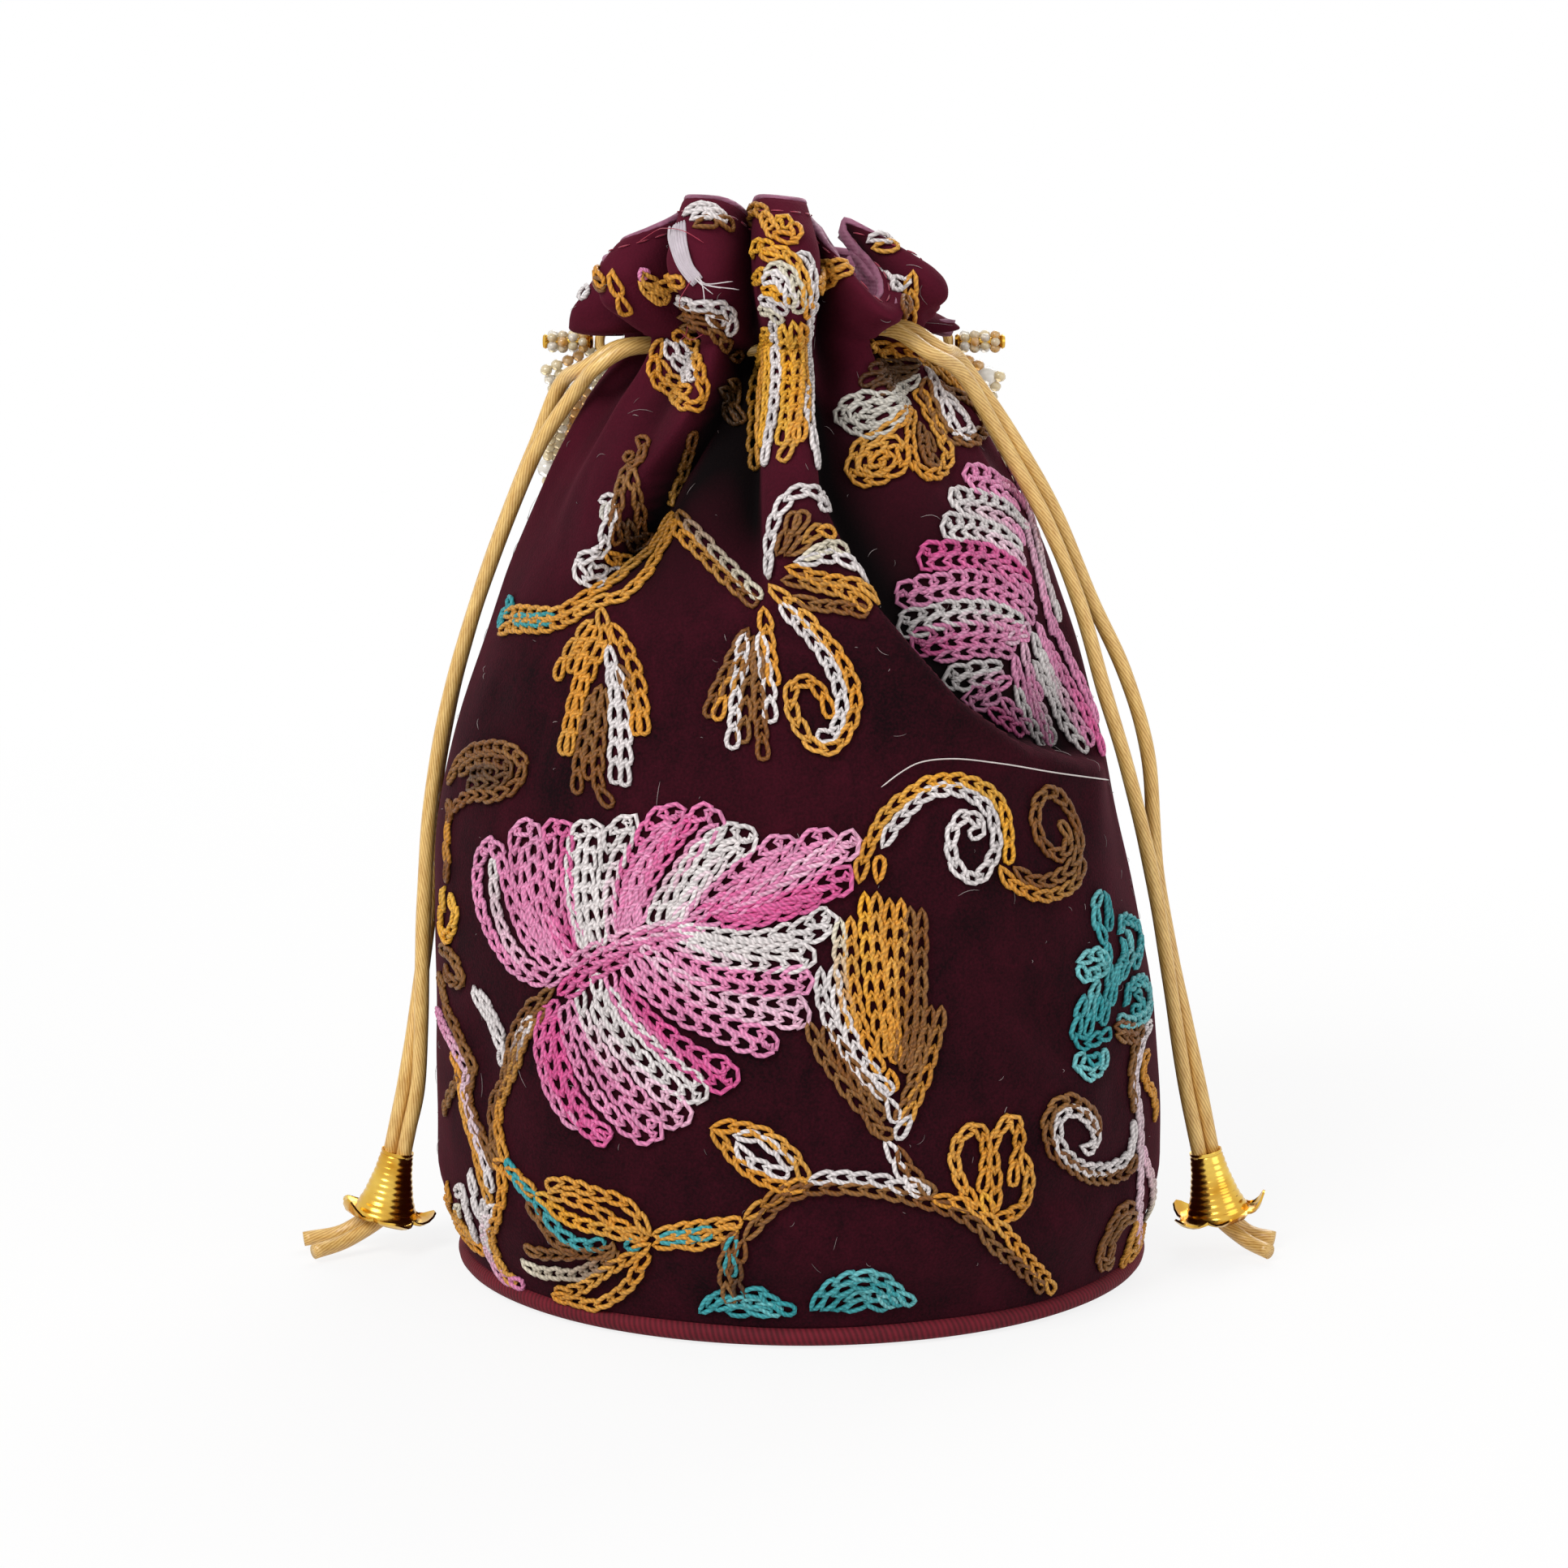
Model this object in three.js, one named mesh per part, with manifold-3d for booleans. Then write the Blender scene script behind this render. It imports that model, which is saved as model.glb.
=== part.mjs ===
// Potli bag: a velvet drawstring pouch, gathered at the neck, with chain-stitch flowers.
// Millimetres, +Z up. The bag stands on its base panel, centred on the origin, and faces -Y.
// A place on the cloth is given as degrees round the bag (0 at the front, growing towards +X)
// and as a height on the bag before the ruffle's edge is cut uneven.

import * as THREE from 'three';
import { mergeVertices } from 'three/addons/utils/BufferGeometryUtils.js';
import Module from 'manifold-3d';

const wasm = await Module();
wasm.setup();

// Bag: the cloth's radius at rings counted upwards, each a rise above the ring below
const HEM_RADIUS = 70.6;
const BELLY_RISE = 15.7;
const BELLY_RADIUS = 72.2;
const FLANK_RISE = 37;
const FLANK_RADIUS = 70.8;
const CHEST_RISE = 41;
const CHEST_RADIUS = 65.2;
const SHOULDER_RISE = 36;
const SHOULDER_RADIUS = 54.6;
const SLOPE_RISE = 21;
const SLOPE_RADIUS = 45;
const THROAT_RISE = 15;
const THROAT_RADIUS = 35.5;
const NECK_RISE = 14;
const NECK_RADIUS = 25.5;
const RUFFLE_RISE = 14;
const RUFFLE_RADIUS = 30;
const EDGE_RISE = 14;
const EDGE_RADIUS = 32;
const SLOPE_GATHER = 0.8;
const THROAT_GATHER = 2;
const NECK_GATHER = 3;
const RUFFLE_GATHER = 5;
const EDGE_GATHER = 6.5;
const LOBE_BULGE = 0.08;
const CHEST_LEAN = 4.8;
const NECK_LEAN = 5.5;
const EDGE_LEAN = 6.8;

// Layers and base
const VELVET_THICKNESS = 1.2;
const LINING_THICKNESS = 0.8;
const LINING_SLACK = 3;
const CLEARANCE = 0.3;
const BASE_PANEL_THICKNESS = 1.8;
const PIPING_DIAMETER = 3.8;
const FLOOR_GAP = 0.1;

// Drawcords and their bells
const CORD_DIAMETER = 3;
const CORD_HOLE_DIAMETER = 10;
const STRAND_SPACING = 3.5;
const RING_SPACING = 4;
const BELL_HEIGHT = 15;
const BELL_COLLAR_DIAMETER = 6.6;
const BELL_MOUTH_DIAMETER = 12.5;
const BELL_PETAL_DIAMETER = 19.5;
const BELL_WALL = 0.7;
const BELL_TILT = THREE.MathUtils.degToRad(12);
const BELL_GAP = 2;
const BELL_LIFT = 5.5;
const BELL_PETALS = 5;

// Bead handle
const HANDLE_ANCHOR_REACH = 40.5;
const HANDLE_ANCHOR_DEPTH = 12;
const HANDLE_BAR_LENGTH = 10;
const HANDLE_BAR_DIAMETER = 4.6;
const HANDLE_LOOP_DIAMETER = 2;
const BEAD_DIAMETER = 3;
const PEARL_DIAMETER = 4.4;
const BEAD_NECK_DIAMETER = 1.6;
const BEAD_PITCH = 10;
const PEARL_EVERY = 4;
const BEAD_STRAND_SPACING = 4.7;
const BEAD_STRANDS = 3;

// Embroidery
const STITCH_GAP = 0.55;
const STITCH_RELIEF = 1;
const STITCH_RIDGE = 0.35;

// Heights that follow from the rises
const HEM_HEIGHT = PIPING_DIAMETER + FLOOR_GAP + CLEARANCE;
const BELLY_HEIGHT = HEM_HEIGHT + BELLY_RISE;
const FLANK_HEIGHT = BELLY_HEIGHT + FLANK_RISE;
const CHEST_HEIGHT = FLANK_HEIGHT + CHEST_RISE;
const SHOULDER_HEIGHT = CHEST_HEIGHT + SHOULDER_RISE;
const SLOPE_HEIGHT = SHOULDER_HEIGHT + SLOPE_RISE;
const THROAT_HEIGHT = SLOPE_HEIGHT + THROAT_RISE;
const NECK_HEIGHT = THROAT_HEIGHT + NECK_RISE;
const RUFFLE_HEIGHT = NECK_HEIGHT + RUFFLE_RISE;
const EDGE_HEIGHT = RUFFLE_HEIGHT + EDGE_RISE;

const PROFILE = [
  [HEM_HEIGHT, HEM_RADIUS],
  [BELLY_HEIGHT, BELLY_RADIUS],
  [FLANK_HEIGHT, FLANK_RADIUS],
  [CHEST_HEIGHT, CHEST_RADIUS],
  [SHOULDER_HEIGHT, SHOULDER_RADIUS],
  [SLOPE_HEIGHT, SLOPE_RADIUS],
  [THROAT_HEIGHT, THROAT_RADIUS],
  [NECK_HEIGHT, NECK_RADIUS],
  [RUFFLE_HEIGHT, RUFFLE_RADIUS],
  [EDGE_HEIGHT, EDGE_RADIUS],
];
const GATHER = [
  [SHOULDER_HEIGHT, 0],
  [SLOPE_HEIGHT, SLOPE_GATHER],
  [THROAT_HEIGHT, THROAT_GATHER],
  [NECK_HEIGHT, NECK_GATHER],
  [RUFFLE_HEIGHT, RUFFLE_GATHER],
  [EDGE_HEIGHT, EDGE_GATHER],
];
// The slack bag leans towards -X as it rises
const LEAN = [
  [0, 0],
  [FLANK_HEIGHT, -1.5],
  [CHEST_HEIGHT, -CHEST_LEAN],
  [SLOPE_HEIGHT, -4.5],
  [NECK_HEIGHT, -NECK_LEAN],
  [EDGE_HEIGHT, -EDGE_LEAN],
];

// Ruffle: where each lobe stands, and how far its edge falls below the highest lobe
const LOBES = [-128, -83, -53, -23, 7, 37, 67, 95, 128, 154, 180, 206, 232];
const EDGE_FALL = [
  [-180, 5], [-128, 6], [-105, 11], [-83, 10], [-68, 12], [-53, 7], [-38, 7], [-23, 1], [-8, 5], [7, 0],
  [22, 4], [37, 19], [52, 9], [67, 11], [82, 16], [95, 14], [111, 13], [128, 7], [180, 5],
];

// Folds pressed into the cloth: the cloth rises to the edge on one side and drops on the other
const FOLD_ARM = 52;
const FOLD_SOFTNESS = 2;
const FOLDS = [
  {
    edge: [[14, 182], [10.5, 168], [10, 157], [20.5, 137], [34.5, 120], [48, 110], [62, 105.5], [82, 101]],
    over: -1, rise: 2.5, riseWidth: 14, drop: 5.5, dropWidth: 16, fadeTop: 12, fadeEnd: 14,
  },
  {
    edge: [[-7, 186], [-6, 172], [-4, 153], [-1.5, 136]],
    over: 1, rise: 2, riseWidth: 8, drop: 6, dropWidth: 9, fadeTop: 8, fadeEnd: 18,
  },
  {
    edge: [[-21, 186], [-20.5, 175], [-24, 166], [-33, 151.5], [-42, 141]],
    over: -1, rise: 2.5, riseWidth: 14, drop: 6, dropWidth: 10, fadeTop: 8, fadeEnd: 16,
  },
];
const PLEAT = {
  line: [[5, 203], [4, 184], [2.2, 166], [2.5, 152], [3, 133]],
  height: 3.5, width: 6, fadeTop: 10, fadeEnd: 24,
};

// Smooth curve through [position, value] knots
function smoothThrough(knots, x) {
  const last = knots.length - 1;
  const at = Math.min(Math.max(x, knots[0][0]), knots[last][0]);
  let i = 0;
  while (i < last - 1 && at >= knots[i + 1][0]) i += 1;
  const slope = (a, b) => (knots[b][1] - knots[a][1]) / (knots[b][0] - knots[a][0]);
  const step = knots[i + 1][0] - knots[i][0];
  const t = (at - knots[i][0]) / step;
  const startSlope = slope(Math.max(i - 1, 0), i + 1) * step;
  const endSlope = slope(i, Math.min(i + 2, last)) * step;
  return knots[i][1] * (1 + 2 * t) * (1 - t) ** 2 + startSlope * t * (1 - t) ** 2
    + knots[i + 1][1] * t * t * (3 - 2 * t) + endSlope * t * t * (t - 1);
}

// Distance from a place on the unrolled cloth to a drawn line, its side and how far along it lies
function alongLine(line, deg, height) {
  const arm = THREE.MathUtils.degToRad(FOLD_ARM);
  const found = { distance: Infinity, side: 1, along: 0, total: 0 };
  for (let k = 1; k < line.length; k += 1) {
    const [x0, y0] = [line[k - 1][0] * arm, line[k - 1][1]];
    const [dx, dy] = [line[k][0] * arm - x0, line[k][1] - y0];
    const length = Math.hypot(dx, dy);
    const [px, py] = [deg * arm - x0, height - y0];
    const t = THREE.MathUtils.clamp((px * dx + py * dy) / length ** 2, 0, 1);
    const distance = Math.hypot(px - t * dx, py - t * dy);
    if (distance < found.distance) {
      found.distance = distance;
      found.side = dx * py - dy * px >= 0 ? 1 : -1;
      found.along = found.total + t * length;
    }
    found.total += length;
  }
  return found;
}

function fadeAlong(shape, found) {
  const fadeIn = THREE.MathUtils.smoothstep(found.along, 0, shape.fadeTop);
  return fadeIn * THREE.MathUtils.smoothstep(found.total - found.along, 0, shape.fadeEnd);
}

function foldOffset(deg, height) {
  let offset = 0;
  for (const fold of FOLDS) {
    const found = alongLine(fold.edge, deg, height);
    const under = 0.5 + 0.5 * Math.tanh(-found.side * fold.over * found.distance / FOLD_SOFTNESS);
    const rise = (1 - under) * fold.rise * Math.exp(-found.distance / fold.riseWidth);
    const drop = under * fold.drop * Math.exp(-found.distance / fold.dropWidth);
    offset += fadeAlong(fold, found) * (rise - drop);
  }
  const found = alongLine(PLEAT.line, deg, height);
  return offset + fadeAlong(PLEAT, found) * PLEAT.height * Math.exp(-((found.distance / PLEAT.width) ** 4));
}

// How far a place lies between two lobes of the ruffle, and the angle between them
function lobePhase(deg) {
  const turn = deg < LOBES[0] ? deg + 360 : deg;
  let i = 0;
  while (i < LOBES.length - 2 && turn >= LOBES[i + 1]) i += 1;
  const span = LOBES[i + 1] - LOBES[i];
  return { phase: 2 * Math.PI * (turn - LOBES[i]) / span, span };
}

const wrapped = (deg) => THREE.MathUtils.euclideanModulo(deg + 180, 360) - 180;

// The velvet's outer face
function clothPoint(anyDeg, height) {
  const deg = wrapped(anyDeg);
  const { phase, span } = lobePhase(deg);
  const radius = smoothThrough(PROFILE, height) + smoothThrough(GATHER, height) * Math.cos(phase)
    + foldOffset(deg, height);
  const bulge = LOBE_BULGE * THREE.MathUtils.smoothstep(height, NECK_HEIGHT - 6, NECK_HEIGHT + RUFFLE_RISE);
  const angle = THREE.MathUtils.degToRad(deg + bulge * span * Math.sin(phase));
  const edge = EDGE_HEIGHT - smoothThrough(EDGE_FALL, deg);
  const ruffleShare = Math.max(0, (height - NECK_HEIGHT) / (EDGE_HEIGHT - NECK_HEIGHT));
  const z = ruffleShare > 0 ? NECK_HEIGHT + ruffleShare * (edge - NECK_HEIGHT) : height;
  const x = smoothThrough(LEAN, height) + radius * Math.sin(angle);
  return new THREE.Vector3(x, -radius * Math.cos(angle), z);
}

function clothNormal(deg, height) {
  const reach = 1.5;
  const across = clothPoint(deg + reach, height).sub(clothPoint(deg - reach, height));
  const low = Math.max(height - reach, HEM_HEIGHT);
  const high = Math.min(height + reach, EDGE_HEIGHT);
  const up = clothPoint(deg, high).sub(clothPoint(deg, low));
  return across.cross(up).normalize();
}

// A place on or off the cloth
function onCloth(deg, height, lift = 0) {
  return clothPoint(deg, height).addScaledVector(clothNormal(deg, height), lift);
}

// Geometry from points and triangles, with its faces turned outwards
function solidGeometry(points, triangles) {
  let volume = 0;
  for (const [a, b, c] of triangles) {
    volume += points[a].dot(new THREE.Vector3().crossVectors(points[b], points[c]));
  }
  const order = volume < 0 ? triangles.map(([a, b, c]) => [a, c, b]) : triangles;
  const geometry = new THREE.BufferGeometry().setFromPoints(points);
  geometry.setIndex(order.flat());
  geometry.computeVertexNormals();
  return geometry;
}

function quads(triangles, lower, upper, count, closed) {
  for (let j = 0; j < (closed ? count : count - 1); j += 1) {
    const next = (j + 1) % count;
    triangles.push([lower + j, lower + next, upper + next], [lower + j, upper + next, upper + j]);
  }
}

// A closed skin over rings of equal size: joined into a loop, or ended by a fan at each end
function ringsGeometry(rings, looped) {
  const count = rings[0].length;
  const points = rings.flat();
  const triangles = [];
  for (let i = 1; i < rings.length; i += 1) quads(triangles, (i - 1) * count, i * count, count, true);
  if (looped) {
    quads(triangles, (rings.length - 1) * count, 0, count, true);
  } else {
    for (const [ring, flip] of [[0, true], [rings.length - 1, false]]) {
      const hub = points.length;
      const middle = new THREE.Vector3();
      rings[ring].forEach((point) => middle.addScaledVector(point, 1 / count));
      points.push(middle);
      for (let j = 0; j < count; j += 1) {
        const [a, b] = [ring * count + j, ring * count + (j + 1) % count];
        triangles.push(flip ? [hub, b, a] : [hub, a, b]);
      }
    }
  }
  return solidGeometry(points, triangles);
}

function asManifold(geometry) {
  const bare = geometry.clone();
  bare.deleteAttribute('normal');
  bare.deleteAttribute('uv');
  const merged = mergeVertices(bare, 1e-4);
  return new wasm.Manifold(new wasm.Mesh({
    numProp: 3,
    vertProperties: new Float32Array(merged.attributes.position.array),
    triVerts: new Uint32Array(merged.index.array),
  }));
}

function fromManifold(solid) {
  const mesh = solid.getMesh();
  const geometry = new THREE.BufferGeometry();
  geometry.setAttribute('position', new THREE.BufferAttribute(mesh.vertProperties, 3));
  geometry.setIndex(new THREE.BufferAttribute(mesh.triVerts, 1));
  geometry.computeVertexNormals();
  return geometry;
}

const bag = new THREE.Group();

function addMesh(name, geometry, look, parent = bag) {
  const mesh = new THREE.Mesh(geometry, new THREE.MeshStandardMaterial(look));
  mesh.name = name;
  parent.add(mesh);
  return mesh;
}

const VELVET = { color: 0x4a0f22, roughness: 0.95, metalness: 0 };
const LINING = { color: 0x8a5068, roughness: 0.9, metalness: 0 };
const CRIMSON = { color: 0x8c1c30, roughness: 0.8, metalness: 0 };
const SATIN = { color: 0xc89b55, roughness: 0.4, metalness: 0 };
const GILT = { color: 0xd8a93a, roughness: 0.25, metalness: 1 };
const BEADS = { color: 0xe3cfa0, roughness: 0.2, metalness: 0 };
const PINK = { color: 0xd873a6, roughness: 0.7, metalness: 0 };
const ORANGE = { color: 0xd8902c, roughness: 0.7, metalness: 0 };
const BROWN = { color: 0x7a4c1c, roughness: 0.7, metalness: 0 };
const WHITE = { color: 0xd9d2c8, roughness: 0.7, metalness: 0 };
const TEAL = { color: 0x3c9a9e, roughness: 0.7, metalness: 0 };

// Velvet wall, with a hole on each side of the neck for the drawcord
const COLUMNS = 72;
const midway = (a, b) => (a + b) / 2;
const RUFFLE_MIDDLE = midway(RUFFLE_HEIGHT, EDGE_HEIGHT);
const WALL_HEIGHTS = [
  HEM_HEIGHT, BELLY_HEIGHT, FLANK_HEIGHT, CHEST_HEIGHT, midway(CHEST_HEIGHT, SHOULDER_HEIGHT), SHOULDER_HEIGHT,
  midway(SHOULDER_HEIGHT, SLOPE_HEIGHT), SLOPE_HEIGHT, midway(SLOPE_HEIGHT, THROAT_HEIGHT), THROAT_HEIGHT,
  midway(THROAT_HEIGHT, NECK_HEIGHT), NECK_HEIGHT, midway(NECK_HEIGHT, RUFFLE_HEIGHT), RUFFLE_HEIGHT,
  RUFFLE_MIDDLE, EDGE_HEIGHT,
];
const columnDegrees = Array.from({ length: COLUMNS }, (_, j) => j * 360 / COLUMNS);
const ringOnCloth = (height, lift) => columnDegrees.map((deg) => onCloth(deg, height, lift));
const wallRings = WALL_HEIGHTS.map((height) => ringOnCloth(height, 0));
const wallInside = WALL_HEIGHTS.map((height) => ringOnCloth(height, -VELVET_THICKNESS));

const CHANNEL_RADIUS = NECK_RADIUS - NECK_GATHER - VELVET_THICKNESS - 2 * CLEARANCE - CORD_DIAMETER / 2;
const LEFT_EXIT = { deg: -68, height: NECK_HEIGHT - RING_SPACING / 2, turn: -1 };
const RIGHT_EXIT = { deg: 52, height: NECK_HEIGHT + RING_SPACING / 2, turn: 1 };

// A place beside the neck, measured from the neck's own axis
function besideNeck(deg, radius, height) {
  const angle = THREE.MathUtils.degToRad(deg);
  return new THREE.Vector3(-NECK_LEAN + radius * Math.sin(angle), -radius * Math.cos(angle), height);
}

function cordHole(exit) {
  const length = 2 * (NECK_RADIUS + NECK_GATHER - CHANNEL_RADIUS);
  const hole = new THREE.CylinderGeometry(CORD_HOLE_DIAMETER / 2, CORD_HOLE_DIAMETER / 2, length, 12);
  const away = besideNeck(exit.deg, 1, 0).sub(besideNeck(exit.deg, 0, 0));
  hole.applyQuaternion(new THREE.Quaternion().setFromUnitVectors(new THREE.Vector3(0, 1, 0), away));
  const centre = besideNeck(exit.deg, CHANNEL_RADIUS - 1 + length / 2, exit.height);
  hole.translate(centre.x, centre.y, centre.z);
  return asManifold(hole);
}

const wall = asManifold(ringsGeometry([...wallInside, ...wallRings.toReversed()], true));
addMesh('velvet_wall', fromManifold(wall.subtract(cordHole(LEFT_EXIT)).subtract(cordHole(RIGHT_EXIT))), VELVET);

// Lining: a slack inner bag that narrows to the cord channel and backs the ruffle
const LINING_FLOOR = FLOOR_GAP + BASE_PANEL_THICKNESS + CLEARANCE;
const LINING_NECK_RADIUS = CHANNEL_RADIUS - CORD_DIAMETER / 2 - 2 * CLEARANCE;
const CHANNEL_HALF_HEIGHT = RING_SPACING / 2 + CORD_DIAMETER / 2 + 2 * CLEARANCE;
const FOLD_DEPTH = 10;

function roundRing(radius, height) {
  const lean = smoothThrough(LEAN, height);
  return columnDegrees.map((deg) => {
    const angle = THREE.MathUtils.degToRad(deg);
    return new THREE.Vector3(lean + radius * Math.sin(angle), -radius * Math.cos(angle), height);
  });
}

function liningRings(inset) {
  const slack = VELVET_THICKNESS + LINING_SLACK;
  const neckRadius = LINING_NECK_RADIUS - inset;
  const edgeLift = -VELVET_THICKNESS - CLEARANCE - inset;
  return [
    roundRing(HEM_RADIUS - slack - inset, LINING_FLOOR + inset),
    roundRing(BELLY_RADIUS - slack - inset, BELLY_HEIGHT),
    roundRing(CHEST_RADIUS - slack - FOLD_DEPTH / 2 - inset, CHEST_HEIGHT),
    roundRing(SLOPE_RADIUS - slack - FOLD_DEPTH - inset, SLOPE_HEIGHT),
    columnDegrees.map((deg) => besideNeck(deg, neckRadius, NECK_HEIGHT - CHANNEL_HALF_HEIGHT)),
    columnDegrees.map((deg) => besideNeck(deg, neckRadius, NECK_HEIGHT + CHANNEL_HALF_HEIGHT)),
    ringOnCloth(RUFFLE_HEIGHT, edgeLift),
    ringOnCloth(RUFFLE_MIDDLE, edgeLift),
    ringOnCloth(EDGE_HEIGHT, edgeLift),
  ];
}

addMesh('lining', ringsGeometry([...liningRings(0), ...liningRings(LINING_THICKNESS).reverse()], false), LINING);

// Base panel and the piping round it
const PIPING_RADIUS = HEM_RADIUS - VELVET_THICKNESS / 2;
const panelRadius = PIPING_RADIUS - PIPING_DIAMETER / 2 - CLEARANCE;
const panel = new THREE.CylinderGeometry(panelRadius, panelRadius, BASE_PANEL_THICKNESS + FLOOR_GAP, 36);
panel.rotateX(Math.PI / 2);
addMesh('base_panel', panel, CRIMSON).position.z = (BASE_PANEL_THICKNESS + FLOOR_GAP) / 2;
const piping = new THREE.TorusGeometry(PIPING_RADIUS, PIPING_DIAMETER / 2, 6, 36);
addMesh('base_piping', piping, CRIMSON).position.z = FLOOR_GAP + PIPING_DIAMETER / 2;

// Bells: a flared cap with a closed crown and a rim of petals, tilted as it hangs
const BELL_OUT = BELLY_RADIUS + BELL_GAP + BELL_PETAL_DIAMETER / 2;

function bellGeometry() {
  const collar = BELL_COLLAR_DIAMETER / 2;
  const mouth = BELL_MOUTH_DIAMETER / 2;
  const petal = BELL_PETAL_DIAMETER / 2;
  const crown = BELL_HEIGHT - 2 * BELL_WALL;
  const profile = [
    [0, BELL_HEIGHT], [collar, BELL_HEIGHT], [collar, crown], [collar + 0.15 * (mouth - collar), 0.7 * BELL_HEIGHT],
    [collar + 0.55 * (mouth - collar), 0.38 * BELL_HEIGHT], [mouth, 2.4], [petal, 0.6 + BELL_WALL], [petal, 0.6],
    [mouth - BELL_WALL, 1.5], [collar + 0.5 * (mouth - collar) - BELL_WALL, 0.38 * BELL_HEIGHT],
    [collar - BELL_WALL, 0.7 * BELL_HEIGHT], [collar - BELL_WALL, crown - BELL_WALL], [0, crown - BELL_WALL],
  ];
  const lathe = new THREE.LatheGeometry(profile.map(([r, z]) => new THREE.Vector2(r, z)).reverse(), 4 * BELL_PETALS);
  lathe.rotateX(Math.PI / 2);
  const position = lathe.attributes.position;
  for (let i = 0; i < position.count; i += 1) {
    const [x, y] = [position.getX(i), position.getY(i)];
    if (Math.hypot(x, y) > mouth + 0.1) {
      const wave = 0.5 + 0.5 * Math.cos(BELL_PETALS * Math.atan2(y, x));
      const scale = 1 - 0.22 * (1 - wave);
      position.setXY(i, x * scale, y * scale);
      position.setZ(i, position.getZ(i) + 0.9 * wave);
    }
  }
  return lathe;
}

function hangBell(name, side) {
  const group = new THREE.Group();
  group.position.set(side * BELL_OUT, 0, BELL_LIFT);
  group.rotation.y = -side * BELL_TILT;
  bag.add(group);
  addMesh(name, bellGeometry(), GILT, group);
  return group;
}

const leftBell = hangBell('left_bell', -1);
const rightBell = hangBell('right_bell', 1);

// Drawcords: each runs once round the neck in its channel, out through one hole, and down to its bell
function roundSection(diameter, sides) {
  const shape = new THREE.Shape();
  for (let k = 0; k < sides; k += 1) {
    const angle = 2 * Math.PI * k / sides;
    const [x, y] = [diameter / 2 * Math.cos(angle), diameter / 2 * Math.sin(angle)];
    if (k === 0) shape.moveTo(x, y);
    else shape.lineTo(x, y);
  }
  return shape;
}

function cordGeometry(points, diameter, steps) {
  const extrudePath = new THREE.CatmullRomCurve3(points, false, 'centripetal');
  return new THREE.ExtrudeGeometry(roundSection(diameter, 8), { steps, extrudePath, bevelEnabled: false });
}

// Each strand's way down the bag: degrees, height and lift off the cloth
const LEFT_FRONT_STRAND = [
  [-78, 172, 5], [-84, 160, 4], [-88, 145, 3.4], [-90, 128, 3], [-92, 110, 2.6], [-93, 90, 2.6], [-92, 68, 3.2],
];
const LEFT_BACK_STRAND = [
  [-86, 171, 6], [-91, 159, 5], [-94, 144, 4], [-95, 128, 3.4], [-96, 110, 2.8], [-97, 90, 2.6], [-97, 68, 3],
];
const RIGHT_FRONT_STRAND = [
  [66, 174, 5.5], [78, 161, 4.4], [84, 146, 3.6], [86, 130, 3.4], [86, 114, 3], [87, 98, 3.6], [89, 74, 3.6],
];
const RIGHT_BACK_STRAND = [
  [74, 175, 7], [85, 161, 6], [90, 146, 5], [92, 130, 5.6], [93, 114, 8], [94, 98, 8.6], [94, 74, 5],
];

function drawcord(name, exit, bell, frontStrand, backStrand) {
  const half = STRAND_SPACING / 2;
  const crownTop = BELL_HEIGHT + CLEARANCE;
  bell.updateMatrixWorld(true);
  const bellPoint = (across, up) => new THREE.Vector3(0, across, up).applyMatrix4(bell.matrixWorld);
  const strandEnd = (across) => [bellPoint(across, crownTop + 14), bellPoint(across, crownTop + 5), bellPoint(across, crownTop)];
  const sideways = THREE.MathUtils.radToDeg(half / (NECK_RADIUS + NECK_GATHER));
  const outlet = (side) => [
    besideNeck(exit.deg + 34 * side, CHANNEL_RADIUS, exit.height),
    besideNeck(exit.deg + 15 * side, CHANNEL_RADIUS + 0.5, exit.height),
    besideNeck(exit.deg + 1.4 * sideways * side, CHANNEL_RADIUS + 5, exit.height),
    besideNeck(exit.deg + 1.1 * sideways * side, NECK_RADIUS + NECK_GATHER + 3, exit.height - 0.5),
    besideNeck(exit.deg + 1.1 * sideways * side + 3 * exit.turn, NECK_RADIUS + NECK_GATHER + 8.5, exit.height - 4),
  ];
  const ring = [];
  for (let k = 1; k < 12; k += 1) {
    ring.push(besideNeck(exit.deg - exit.turn * (34 + k * (360 - 68) / 12), CHANNEL_RADIUS, exit.height));
  }
  const front = frontStrand.map(([deg, height, lift]) => onCloth(deg, height, lift));
  const back = backStrand.map(([deg, height, lift]) => onCloth(deg, height, lift));
  const points = [
    ...strandEnd(-half).reverse(), ...front.reverse(), ...outlet(-exit.turn).reverse(), ...ring,
    ...outlet(exit.turn), ...back, ...strandEnd(half),
  ];
  addMesh(name, cordGeometry(points, CORD_DIAMETER, 56), SATIN);
}

drawcord('left_drawcord', LEFT_EXIT, leftBell, LEFT_FRONT_STRAND, LEFT_BACK_STRAND);
drawcord('right_drawcord', RIGHT_EXIT, rightBell, RIGHT_FRONT_STRAND, RIGHT_BACK_STRAND);

// Cut tails of the cords below the bells, led out to rest just above the floor
function tail(name, bell, side, across, reach) {
  const under = 0.46 * BELL_HEIGHT;
  const low = CORD_DIAMETER / 2 + FLOOR_GAP;
  const inside = (up) => new THREE.Vector3(0, across, up).applyMatrix4(bell.matrixWorld);
  const out = (distance, height) => new THREE.Vector3(side * (BELL_OUT + distance), 1.3 * across, height);
  const points = [inside(under), inside(0.5 * under), out(0.5 * reach, low + 1.6), out(reach, low + 0.3)];
  addMesh(name, cordGeometry(points, CORD_DIAMETER, 4), SATIN);
}

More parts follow.
